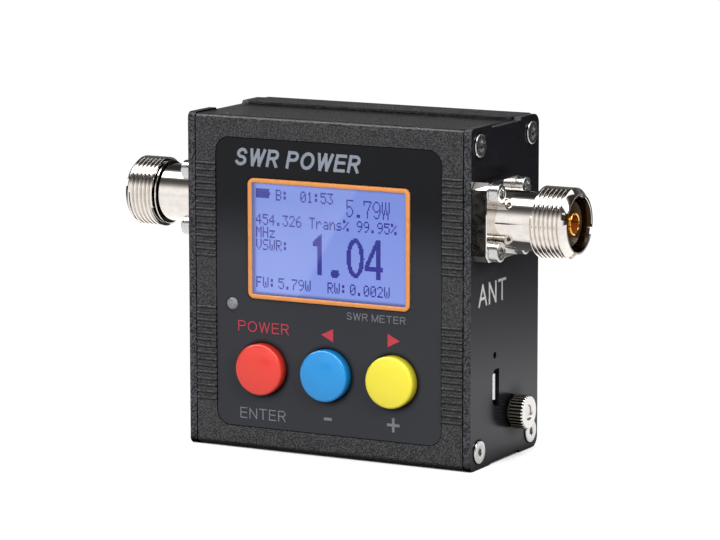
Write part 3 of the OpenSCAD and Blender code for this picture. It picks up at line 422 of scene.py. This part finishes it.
def jack(name, out, turn):
    """One jack: flange, barrel with thread and notched rim, insulator, contact, washers and screws."""
    low, high = box(name + "_jack_shell")
    seat, rim = (low.x, high.x - low.x) if out > 0 else (high.x, high.x - low.x)
    middle = (low + high) / 2
    wide = high.y - low.y
    place = facing((out, 0, 0), (seat, middle.y, middle.z))
    angles, inside = notched(4, math.radians(turn), 1.5 / 7)
    form = bmesh.new()
    loft(form, [bevelled(wide - 2 * i, 1.45 - 0.6 * i, h) for i, h in ((0, 0), (0, 1.45), (0.15, FLANGE))], place)
    foot, top = rim - 9.1, rim - 1.55
    barrel = [(6.6, 0.8), (6.6, foot + 0.4), (6.55, foot + 0.45)]
    undercut = [barrel[-1], (NECK_R, foot + 0.47), (NECK_R, foot + 0.6)]
    parts = [(barrel, 0), (undercut, 0)]
    if out < 0:
        # The left jack has a collar between two grooves, dull and dark with painted shade
        collar = [(7.23, foot + 0.8), (7.3, foot + 0.86), (7.3, foot + 1.1), (7.23, foot + 1.16)]
        undercut[-1:] = [(NECK_R, foot + 0.77), collar[0]]
        groove = [collar[-1], (NECK_R, foot + 1.2), (NECK_R, foot + 1.5)]
        parts = [(barrel, 0), (undercut, 1), (collar, 0), (groove, 1)]
    for shape, tint in parts:
        loft(form, [ring(r, h, angles) for r, h in shape], place, ends=(shape is barrel, False), tint=tint)
    last, tint = parts[-1]
    # On the left jack the thread's roots take the dark nickel, as painted shade
    thread(form, angles, last[-1][1], top, (NECK_R, CREST_R), place, tint)
    loops = []
    for r, h in ((CREST_R, top), (CREST_R, rim - 1.3), (7.9, rim - 1.2), (6.78, rim - 0.06), (6.68, rim), (6.2, rim),
                 (ROOM_R, rim - 0.08), (ROOM_R, rim - 9)):
        loop = []
        for a in angles:
            deep = min(h, rim - 1) if inside(a) else h
            grown = 7.7 if inside(a) and 6.5 < r < 7.7 else r
            loop.append((grown * math.cos(a), grown * math.sin(a), deep))
        loops.append(loop)
    loft(form, loops, place, ends=(False, True))
    piece(name + "_nickel_shell", form, [nickel_plate, shaded_dull_nickel], "meter", "jack_nickel", name + "_jack_shell")

    form = bmesh.new()
    face = rim - 1.7
    loft(form, [ring(r, h) for r, h in ((4.4, 0.3), (4.4, rim - 9.1), (6.05, rim - 8.95), (6.05, rim - 7),
                                        (4.95, rim - 6.9), (4.9, face - 0.2), (4.75, face - 0.05), (4.6, face),
                                        (2.6, face), (2.52, face - 0.1), (2.52, rim - 8.9))], place)
    piece(name + "_phenolic_core", form, [phenolic_resin], "meter", "insulator_brown", name + "_jack_insulator")

    form = bmesh.new()
    tip = rim - 1.05
    slits, between = notched(4, math.radians(turn + 25), 0.08)
    slit_foot = tip - 3
    loops = []
    for r, h in ((0.55, -4.6), (0.55, rim - 9), (2.45, rim - 9), (2.5, rim - 8.9), (2.5, tip - 0.25),
                 (2.4, tip - 0.06), (2.28, tip), (2.1, tip - 0.04), (2.0, tip - 0.16), (2.0, tip - 7)):
        loops.append([(r * math.cos(a), r * math.sin(a), min(h, slit_foot) if between(a) else h) for a in slits])
    loft(form, loops[:9], place, ends=(True, False))
    loft(form, loops[8:], place, ends=(False, True), tint=1)
    piece(name + "_gold_contact", form, [gold_plate, bore_brass], "meter", "contact_gold", name + "_jack_contact")

    heads, washers = bmesh.new(), bmesh.new()
    for y in (-SCREW_AT, SCREW_AT):
        for x in (-SCREW_AT, SCREW_AT):
            spot = place @ Matrix.Translation((x, y, FLANGE))
            loft(washers, [ring(r, h, 48) for r, h in ((1.4, 0), (2.3, 0), (2.35, 0.06), (2.35, 0.24), (2.3, 0.3),
                                                       (1.4, 0.3))], spot, tube=True)
            loft(heads, [ring(SHANK_R, h, 48) for h in (-3.6, 0.35)], spot)
            socket_head(heads, spot, radius=2.25, low=0.3, high=2.5, edge=0.3, across=2, deep=1.2)
    piece(name + "_flange_screws", heads, [stainless_steel], "meter", "screw_steel", name + "_jack_screws")
    piece(name + "_flange_washers", washers, [stainless_steel], "meter", "screw_steel", name + "_jack_washers")


jack("ant", 1, -20)
jack("tx", -1, 20)
low, high = box("ant_jack_spacer")
form = bmesh.new()
middle = (low + high) / 2
loft(form, [bevelled(high.y - low.y - 2 * i, 1.45 - 0.6 * i, h) for i, h in ((0.1, 0), (0, 0.1), (0, 2))],
     facing((1, 0, 0), (low.x, middle.y, middle.z)))
piece("ant_nickel_spacer", form, [nickel_plate], "meter", "jack_nickel", "ant_jack_spacer")

# Ground terminal's knob: its teeth, its radius over them, their depth, and the radius of the hole
TEETH, KNOB_R, GROOVE, HOLE_R = 30, 3.85, 0.36, 1.56
STUD_Y = 6
low, high = box("ground_knob")
place = facing((1, 0, 0), (low.x, STUD_Y, (low.z + high.z) / 2))
length = high.x - low.x
turns = [2 * math.pi * i / (TEETH * 6) for i in range(TEETH * 6)]


def tooth(a, radius=KNOB_R):
    """The radius of the knurl at an angle: flat crests with wide grooves between them."""
    return radius - GROOVE * min(1, max(0, 1.8 - 5 * abs(a * TEETH / (2 * math.pi) % 1 - 0.5)))


form = bmesh.new()
bevel = [(tooth(a) * math.cos(a), tooth(a) * math.sin(a), length - 0.4 + 1.1 * (KNOB_R - tooth(a))) for a in turns]
grip = ((HOLE_R, 0), (3.3, 0), (lambda a: tooth(a, 3.7), 0.1), (tooth, 0.3))
bare = ((3.55, length), (1.85, length), (1.6, length - 0.2), (HOLE_R, 0))
loft(form, [ring(r, h, turns) for r, h in grip] + [bevel], place, ends=(False, False))
loft(form, [bevel] + [ring(r, h, turns) for r, h in bare], place, ends=(False, False), tint=1)
# The inner end and the grooves take the dark nickel, as painted shade
for face in form.faces:
    spot = place.inverted() @ face.calc_center_median()
    if face.material_index == 0 and (spot.z < 0.3 or math.hypot(spot.x, spot.y) < 3.77):
        face.material_index = 2
piece("knurled_knob", form, [black_nickel, turned_metal, shaded_dull_nickel], "ground_knob", "knob_black", "ground_knob",
      smooth=25)

# Button caps: radii of the cap and of the rim that holds it behind the panel
CAP_R, RIM_R = 5.9, 6.7
for name, coat, slot in (("power", red_abs, "cap_red"), ("minus", blue_abs, "cap_blue"),
                         ("plus", yellow_abs, "cap_yellow")):
    low, high = box(name + "_cap")
    middle = (low + high) / 2
    tall = high.y - low.y
    form = bmesh.new()
    side = [(RIM_R, 0), (RIM_R, 0.8), (CAP_R, 0.85)] + arc(CAP_R, tall - 0.4, 0.8, 8)
    crown = [(4.6, tall - 0.27), (3.4, tall - 0.14), (2.2, tall - 0.05), (0.9, tall)]
    loft(form, [ring(r, h, 96) for r, h in side + crown], facing((0, -1, 0), (middle.x, high.y, middle.z)))
    piece(name + "_button", form, [coat], name + "_button", slot, name + "_cap", smooth=50)

# Status light: its seat behind the front wall, and half the distance between its leads
LED_SEAT, LEAD_AT = -13.6, 1.27
low, high = box("status_led")
middle = (low + high) / 2
form = bmesh.new()
place = facing((0, -1, 0), (middle.x, LED_SEAT, middle.z))
loft(form, [ring(r, h) for r, h in ((1.9, -1), (1.9, 0), (1.45, 0), (1.45, 1.75), (1.4, 1.95), (1.25, 2.15),
                                    (0.95, 2.32), (0.6, 2.44), (0.25, 2.5))], place)
for x in (-LEAD_AT, LEAD_AT):
    loft(form, [ring(0.25, h, 16) for h in (-7.6, -0.9)], place @ Matrix.Translation((0, x, 0)))
piece("light_lens", form, [epoxy_lens], "meter", "led_lens", "status_led", smooth=50)

# Charging socket: a folded sheet shell with a flared lip along its rear side, and the tongue inside
low, high = box("usb_socket")
middle = (low + high) / 2
form = bmesh.new()
place = facing((1, 0, 0), (low.x, middle.y, middle.z))


def mouth(inset, height):
    """The socket's outline, with two bevelled corners towards the front."""
    y, z, b = 1.35 - inset, 3.9 - inset, 1.1
    outline = ((z, -y), (z, y - b), (z - b, y), (b - z, y), (-z, y - b), (-z, -y))
    return [(x, y, height) for x, y in outline]


deep, sheet = 4.9, 0.3
loft(form, [mouth(inset, h) for inset, h in ((0, 0), (0, deep), (0.06, deep + 0.05), (0.24, deep + 0.05),
                                             (sheet, deep), (sheet, 0.4))], place)
lip = ((-0.46, 4.91), (-1.42, 5.6), (-1.42, 5.45), (-0.46, 4.76))
loft(form, [[(x, y, h) for y, h in lip] for x in (-3.0, 2.85)], place)
tongue = ((-2.4, 0.1), (2.4, 0.1), (2.4, 0.6), (-2.4, 0.6))
loft(form, [[(x, y, h) for x, y in tongue] for h in (0.5, 3.8)], place, tint=1)
piece("charging_socket", form, [tinned_steel, moulded_epoxy], "meter", "tinned_sheet", "usb_socket")

# Display: orange frame, clear pane and dots
low, high = box("display_bezel")
middle = (low + high) / 2
wide, tall = high.x - low.x, high.z - low.z
place = facing((0, -1, 0), (middle.x, high.y, middle.z))
front = high.y - low.y
form = bmesh.new()
rows = [(0, 0), (0, front - 0.3), (0.09, front - 0.09), (0.3, front), (0.75, front), (0.95, front - 0.06),
        (1.02, front - 0.16), (1.02, front - 0.33), (0.6, front - 0.33), (0.6, 0)]
loft(form, [rounded(wide - 2 * i, tall - 2 * i, max(1.5 - i, 0.4), h) for i, h in rows], place, tube=True)
piece("orange_frame", form, [orange_abs], "meter", "bezel_orange", "display_bezel")

# The pane lies inside the frame, smaller by this much in all
PANE_IN = 1.24
form = bmesh.new()
rows = ((0.05, 0.12), (0, 0.17), (0, 1.85), (0.05, 1.9))
loft(form, [rounded(wide - PANE_IN - 2 * i, tall - PANE_IN - 2 * i, 0.5, h) for i, h in rows], place)
piece("clear_pane", form, [clear_acrylic], "meter", "window_clear", "display_window", smooth=15)

# Five columns of each small letter, top dot in the lowest bit
LETTERS = {
    "%": "2313086462", ".": "0060600000", "0": "3E5149453E", "1": "00427F4000", "2": "4261514946",
    "3": "2141454B31", "4": "1814127F10", "5": "2745454539", "6": "3C4A494930", "7": "0171090503",
    "9": "064949291E", ":": "0036360000", "B": "7F49494936", "F": "7F09090901", "H": "7F0808087F",
    "M": "7F020C027F", "R": "7F09192946", "S": "4649494931", "T": "01017F0101", "V": "1F2040201F",
    "W": "3F4038403F", "a": "2054545478", "n": "7C08040478", "r": "7C08040408", "s": "4854545420",
    "z": "4464544C44",
}
# Seven columns of each taller letter, with three hexadecimal digits for a column
TALL = {"5": "00033F4114114112211C1", "7": "0070010017C103100D003", "9": "01C2224414414413220FC",
        "W": "07F7800E001F0E078007F", ".": "000000600600600000000"}
# The grid of dots, the distance between them and the size of each
COLUMNS, ROWS = 128, 64
STEP_X, STEP_Z, DOT_X, DOT_Z = 0.2842, 0.357, 0.27, 0.34
dots = set()


def small(words, column, row, letters=LETTERS, digits=2, pitch=6):
    """Sets the dots of a line of letters."""
    for i, letter in enumerate(words):
        bits = letters[letter]
        for c in range(len(bits) // digits):
            column_bits = int(bits[c * digits:(c + 1) * digits], 16)
            dots.update((column + i * pitch + c, row + r) for r in range(11) if column_bits >> r & 1)


small("B:", 18, 0)
small("01:53", 40, 0)
small("454.326", 0, 16)
small("Trans%", 48, 16)
small("99.95%", 90, 16)
small("MHz", 0, 24)
small("VSWR:", 0, 32)
small("FW:", 0, 56)
small("5.79W", 20, 56)
small("RW:", 64, 56)
small("0.002W", 84, 56)
small("5.79W", 80, 3, TALL, 3, 8)
# The battery's sign and the large reading
for c in range(COLUMNS):
    for r in range(ROWS):
        x, y = c + 0.5, r + 0.5
        icon = c < 12 and r < 6 or c == 12 and 2 <= r < 4
        one = 55 <= x < 59 and 27 + (57 - x) * 0.7 <= y < 52 or 51 <= x < 55 and 31.2 - (x - 51) * 0.7 <= y < 33.8
        point = math.hypot((x - 70.7) / 3.9, (y - 50.4) / 2.8) < 1
        zero = math.hypot((x - 88.7) / 7.8, (y - 39.5) / 12.5) < 1 < math.hypot((x - 88.7) / 4, (y - 39.5) / 9.2)
        four = 107 <= x < 111 and 27 <= y < 52 or 97.4 <= x < 113.4 and 44 <= y < 47.2 or (
            27 <= y < 45 and abs(x - 109 + (y - 27) * 0.6) < 2 and x < 109)
        if icon or one or point or zero or four:
            dots.add((c, r))
low, high = box("lcd_cell")
middle = (low + high) / 2
left, top = middle.x - 19.225 + 0.19, middle.z + 12.475 - 1.25
DOT_RISE = 0.05
form = bmesh.new()
for c, r in sorted(dots):
    x, z = left + STEP_X * c, top - STEP_Z * r
    loft(form, [[(x, y, z), (x + DOT_X, y, z), (x + DOT_X, y, z - DOT_Z), (x, y, z - DOT_Z)]
                for y in (low.y, low.y - DOT_RISE)])
piece("display_dots", form, [dark_crystal], "meter", "lcd_blue")

# Printed legends: where the panel's and the right plate's faces lie, and the ink's thickness
PANEL_FACE, PLATE_FACE, INK = -15.49, 34.59, 0.04
ON_PANEL = Matrix.Translation((0, PANEL_FACE, 0)) @ Matrix(((1, 0, 0), (0, 0, -1), (0, 1, 0))).to_4x4()
ON_PLATE = Matrix.Translation((PLATE_FACE, 0, 0)) @ Matrix(((0, 0, 1), (1, 0, 0), (0, 1, 0))).to_4x4()
# Strokes that cross lie at three heights this far apart, so that no two faces coincide
STAGGER = 0.004
# A pen stroke ends where the line turns back by more than this, so that sharp corners stay blunt
SHARP = -0.2


def bow(x, y, wide, tall, start, end):
    """Points along part of an ellipse."""
    turns = [math.radians(start + (end - start) * k / 14) for k in range(15)]
    return [(x + wide * math.cos(a), y + tall * math.sin(a)) for a in turns]


# Pen strokes of plain capitals, one unit tall
BOWL = [(0, 1), (0.36, 1)] + bow(0.36, 0.745, 0.26, 0.255, 90, -90)[1:] + [(0, 0.49)]
STEM = [(0, 0), (0, 1)]
CAPITALS = {
    "A": [[(0, 0), (0.36, 1), (0.72, 0)], [(0.13, 0.34), (0.59, 0.34)]],
    "E": [[(0.58, 1), (0, 1), (0, 0), (0.6, 0)], [(0, 0.53), (0.54, 0.53)]],
    "M": [[(0, 0), (0, 1), (0.38, 0), (0.76, 1), (0.76, 0)]],
    "N": [[(0, 0), (0, 1), (0.64, 0), (0.64, 1)]],
    "O": [bow(0.4, 0.5, 0.4, 0.5, 90, 450)],
    "P": [BOWL, STEM],
    "R": [BOWL, STEM, [(0.34, 0.49), (0.62, 0)]],
    "S": [bow(0.31, 0.75, 0.26, 0.25, 20, 270) + bow(0.31, 0.25, 0.3, 0.25, 90, -155)[1:]],
    "T": [[(0, 1), (0.68, 1)], [(0.34, 1), (0.34, 0)]],
    "W": [[(0, 1), (0.23, 0), (0.47, 1), (0.71, 0), (0.94, 1)]],
    " ": [],
}


def legend(name, words, ink, place, low, high, pen, lean=0.0):
    """Printed words that fill a rectangle, drawn with an even pen as a thin layer of ink."""
    lines, at = [], 0.0
    for letter in words:
        lines += [[(at + x + lean * y, y) for x, y in line] for line in CAPITALS[letter]]
        at += max([x for line in CAPITALS[letter] for x, y in line], default=0.1) + 0.18 + pen / (high[1] - low[1])
    wide = max(x for line in lines for x, y in line)
    strokes = []
    for line in lines:
        spots = [Vector((low[0] + pen / 2 + x / wide * (high[0] - low[0] - pen),
                         low[1] + pen / 2 + y * (high[1] - low[1] - pen))) for x, y in line]
        strokes.append(spots[:2])
        for before, spot, after in zip(spots, spots[1:], spots[2:]):
            if (spot - before).normalized().dot((after - spot).normalized()) < SHARP:
                strokes.append([spot])
            strokes[-1].append(after)
    form = bmesh.new()
    for n, spots in enumerate(strokes):
        joined = (spots[0] - spots[-1]).length < 0.001
        if joined:
            spots.pop()
        else:
            spots[0] = spots[0] + (spots[0] - spots[1]).normalized() * pen / 2
            spots[-1] = spots[-1] + (spots[-1] - spots[-2]).normalized() * pen / 2
        deep = INK + STAGGER * (n % 3)
        loops = []
        for i, spot in enumerate(spots):
            last = spot - spots[i - 1] if i or joined else spots[1] - spot
            after = spots[(i + 1) % len(spots)] - spot if i + 1 < len(spots) or joined else last
            ways = [Vector((-way.y, way.x)).normalized() for way in (last, after)]
            across = (ways[0] + ways[1]).normalized()
            across *= pen / 2 / max(across.dot(ways[0]), 0.5)
            loops.append([(*(spot + s * across), h) for s, h in ((-1, 0), (1, 0), (1, deep), (-1, deep))])
        loft(form, loops, place, tube=joined)
    piece(name, form, [ink], "meter", "panel_black")


def mark(name, outline, ink):
    """A printed sign on the panel."""
    form = bmesh.new()
    loft(form, [[(x, y, h) for x, y in outline] for h in (0, INK)], ON_PANEL)
    piece(name, form, [ink], "meter", "panel_black")


legend("legend_power", "POWER", red_ink, ON_PANEL, (-23.9, 26.95), (-10.9, 29.4), 0.25)
legend("legend_enter", "ENTER", grey_ink, ON_PANEL, (-23.5, 7.0), (-11.8, 9.5), 0.25)
legend("legend_meter", "SWR METER", grey_ink, ON_PANEL, (3.8, 31.75), (18.5, 33.4), 0.18)
legend("legend_title", "SWR POWER", silver_ink, ON_PANEL, (-24.6, 64.6), (7.4, 68.6), 0.72, 0.2)
legend("legend_ant", "ANT", pale_ink, ON_PLATE, (-11.8, 36.2), (1.95, 41.15), 0.62)
mark("mark_left", [(-2.6, 27.8), (0.4, 29.3), (0.4, 26.3)], red_ink)
mark("mark_right", [(17.1, 27.9), (14.1, 26.4), (14.1, 29.4)], red_ink)
mark("mark_minus", [(-2.0, 8.4), (0.0, 8.4), (0.0, 9.05), (-2.0, 9.05)], grey_ink)
a, b = 0.32, 1.6
cross = ((-b, -a), (-a, -a), (-a, -b), (a, -b), (a, -a), (b, -a), (b, a), (a, a), (a, b), (-a, b), (-a, a), (-b, a))
mark("mark_plus", [(15.5 + x, 8.9 + y) for x, y in cross], grey_ink)

# Stage: a white table, and two cards that only show in reflections


def prop(name, bm, coat):
    """Makes a form in mm into a prop of the stage."""
    bmesh.ops.scale(bm, vec=(MM, MM, MM), verts=bm.verts)
    mesh = bpy.data.meshes.new(name)
    bm.to_mesh(mesh)
    bm.free()
    mesh.materials.append(coat)
    made = bpy.data.objects.new(name, mesh)
    scene.collection.objects.link(made)
    return made


def blank(owner):
    """The node tree of a material or world with only its output, and that output's surface."""
    owner.use_nodes = True
    tree = owner.node_tree
    for node in [n for n in tree.nodes if not n.name.endswith("Output")]:
        tree.nodes.remove(node)
    return tree, tree.nodes[0].inputs["Surface"]


def shown_as(tree, surface, seen, mirror, rest):
    """Links one shader for the camera, one for mirror images and one for all other light."""
    ray = add(tree, "ShaderNodeLightPath").outputs
    mirrored = combine(tree, "MAXIMUM", ray["Is Glossy Ray"], ray["Is Transmission Ray"])
    others = add(tree, "ShaderNodeMixShader", {0: mirrored, 1: rest, 2: mirror})
    shown = add(tree, "ShaderNodeMixShader", {0: ray["Is Camera Ray"], 1: others.outputs[0], 2: seen})
    tree.links.new(shown.outputs[0], surface)


# In reflections the table glows with painted light, white in front with a faint line far out and fading behind; close
# to the case a painted shadow darkens it, in reflections and to the camera
paper = bpy.data.materials.new("white_paper_table")
tree, surface = blank(paper)
spot = add(tree, "ShaderNodeTexCoord").outputs["Object"]
shifted = add(tree, "ShaderNodeVectorMath", {0: spot, 1: (0.012, 0.024, 0)})
far = add(tree, "ShaderNodeVectorMath", {0: shifted.outputs[0]}, operation="LENGTH").outputs["Value"]
before = add(tree, "ShaderNodeValToRGB", {"Fac": far}, stops=(
    (0, 0.72), (0.1, 0.76), (0.36, 0.76), (0.385, 0.6), (0.4, 0.6), (0.43, 0.74), (1, 0.72)))
behind = add(tree, "ShaderNodeValToRGB", {"Fac": far}, stops=(
    (0, 0.75), (0.06, 0.85), (0.13, 1), (0.2, 0.55), (0.3, 0.17), (0.4, 0.03), (1, 0.0)))
rear = add(tree, "ShaderNodeMapRange", {"Value": axes(tree)["Y"], "From Min": -0.06, "From Max": 0.02})
fade = mixed(tree, rear.outputs[0], before.outputs[0], behind.outputs[0])
# Painted shadow: ambient occlusion darkens the table near the case, in its glow and in its white to the camera
close = add(tree, "ShaderNodeAmbientOcclusion", {"Color": fade, "Distance": 0.02}, samples=8)
painted_floor_shadow = add(tree, "ShaderNodeMapRange", {"Value": close.outputs["AO"], "From Min": 0.28, "From Max": 0.44})
glow = add(tree, "ShaderNodeEmission", {"Color": close.outputs["Color"], "Strength": 1.5})
seen = add(tree, "ShaderNodeEmission", {"Color": painted_floor_shadow.outputs[0], "Strength": 1.18})
matt = add(tree, "ShaderNodeBsdfDiffuse", {"Color": linear("#e6e6e6")})
dim = add(tree, "ShaderNodeBsdfDiffuse", {"Color": linear("#383838")})
direct = add(tree, "ShaderNodeMixShader", {0: 0.8, 1: matt.outputs[0], 2: seen.outputs[0]})
shown_as(tree, surface, direct.outputs[0], glow.outputs[0], dim.outputs[0])
form = bmesh.new()
loft(form, [rounded(6000, 6000, 2000, h) for h in (-20, -10, 0)])
prop("table", form, paper)

grey = bpy.data.materials.new("grey_card")
tree, surface = blank(grey)
tree.links.new(add(tree, "ShaderNodeEmission", {"Strength": 0.4}).outputs[0], surface)
flock = bpy.data.materials.new("black_flock_card")
tree, surface = blank(flock)
tree.links.new(add(tree, "ShaderNodeBsdfDiffuse", {"Color": linear("#0c0c0c")}).outputs[0], surface)
for name, coat, corners in (("pane_card", grey, ((-100, -176), (-210, -427), (-172, -427), (-66, -176))),
                            ("flange_card", flock, ((-75, -255), (-164, -452), (-188, -452), (-95, -255)))):
    form = bmesh.new()
    loft(form, [[(x, y, h) for x, y in corners] for h in (0.2, 0.5)])
    card = prop(name, form, coat)
    card.visible_camera = card.visible_diffuse = card.visible_shadow = False

# Room: white to the camera; to metal and gloss a light tent, bright in front and overhead with a dark gap between,
# and a strip overhead to the right
room = bpy.data.worlds.new("light_tent")
scene.world = room
tree, surface = blank(room)
way = axes(tree, "Generated")
# Half a turn from the front over the top to the rear, as 0 to 1, and from left to right, as 0 to 1
turn = combine(tree, "ARCTAN2", way["Z"], combine(tree, "MULTIPLY", way["Y"], -1.0))
part = combine(tree, "MULTIPLY", turn, 1 / math.pi)
across = add(tree, "ShaderNodeMapRange", {"Value": way["X"], "From Min": -1.0, "From Max": 1.0}).outputs[0]
tent = add(tree, "ShaderNodeValToRGB", {"Fac": part}, stops=(
    (0, 0.145), (0.05, 0.15), (0.1, 0.15), (0.13, 0.13), (0.17, 0.07), (0.2, 0.038), (0.226, 0.02), (0.28, 0.01),
    (0.32, 0.01), (0.345, 0.025), (0.365, 0.08), (0.39, 1), (0.5, 1), (0.53, 0.12), (0.56, 0.03), (0.6, 0.005),
    (0.68, 0.004), (0.73, 0.004), (0.78, 0.005), (0.84, 0.009), (0.9, 0.02), (1, 0.023)))
reach = add(tree, "ShaderNodeValToRGB", {"Fac": across}, stops=((0.4, 0), (0.44, 1), (0.68, 1), (0.72, 0)))
over = add(tree, "ShaderNodeValToRGB", {"Fac": part}, stops=((0.5, 0), (0.53, 0.25), (0.74, 0.25), (0.77, 0)))
strip = mixed(tree, 1.0, over.outputs[0], reach.outputs[0], blend_type="MULTIPLY")
# The tent's two ends are dark
ends = add(tree, "ShaderNodeValToRGB", {"Fac": across}, stops=((0.04, 0.04), (0.1, 1), (0.9, 1), (0.96, 0.04)))
closed = mixed(tree, 1.0, tent.outputs[0], ends.outputs[0], blend_type="MULTIPLY")
sky = mixed(tree, 1.0, closed, strip, blend_type="ADD")
panels = add(tree, "ShaderNodeBackground", {"Color": sky, "Strength": 8.0})
soft = add(tree, "ShaderNodeBackground", {"Color": linear("#ffffff"), "Strength": 0.35})
white = add(tree, "ShaderNodeBackground", {"Color": linear("#ffffff"), "Strength": 1.0})
shown_as(tree, surface, white.outputs[0], panels.outputs[0], soft.outputs[0])

# Lamps: a key from the front and a weaker fill from the right; reflections show the tent instead
AIM = Vector((0, 0, 0.04))
for name, at, size, watts in (("key", (-0.1, -1.1, 0.6), 0.8, 11), ("fill", (0.9, -0.5, 0.5), 0.6, 6.5)):
    lamp = bpy.data.lights.new(name, "AREA")
    lamp.size, lamp.energy = size, watts
    holder = bpy.data.objects.new(name, lamp)
    holder.location = at
    holder.rotation_euler = (AIM - Vector(at)).to_track_quat("-Z", "Y").to_euler()
    holder.visible_glossy = False
    scene.collection.objects.link(holder)

scene.view_settings.view_transform = "Standard"
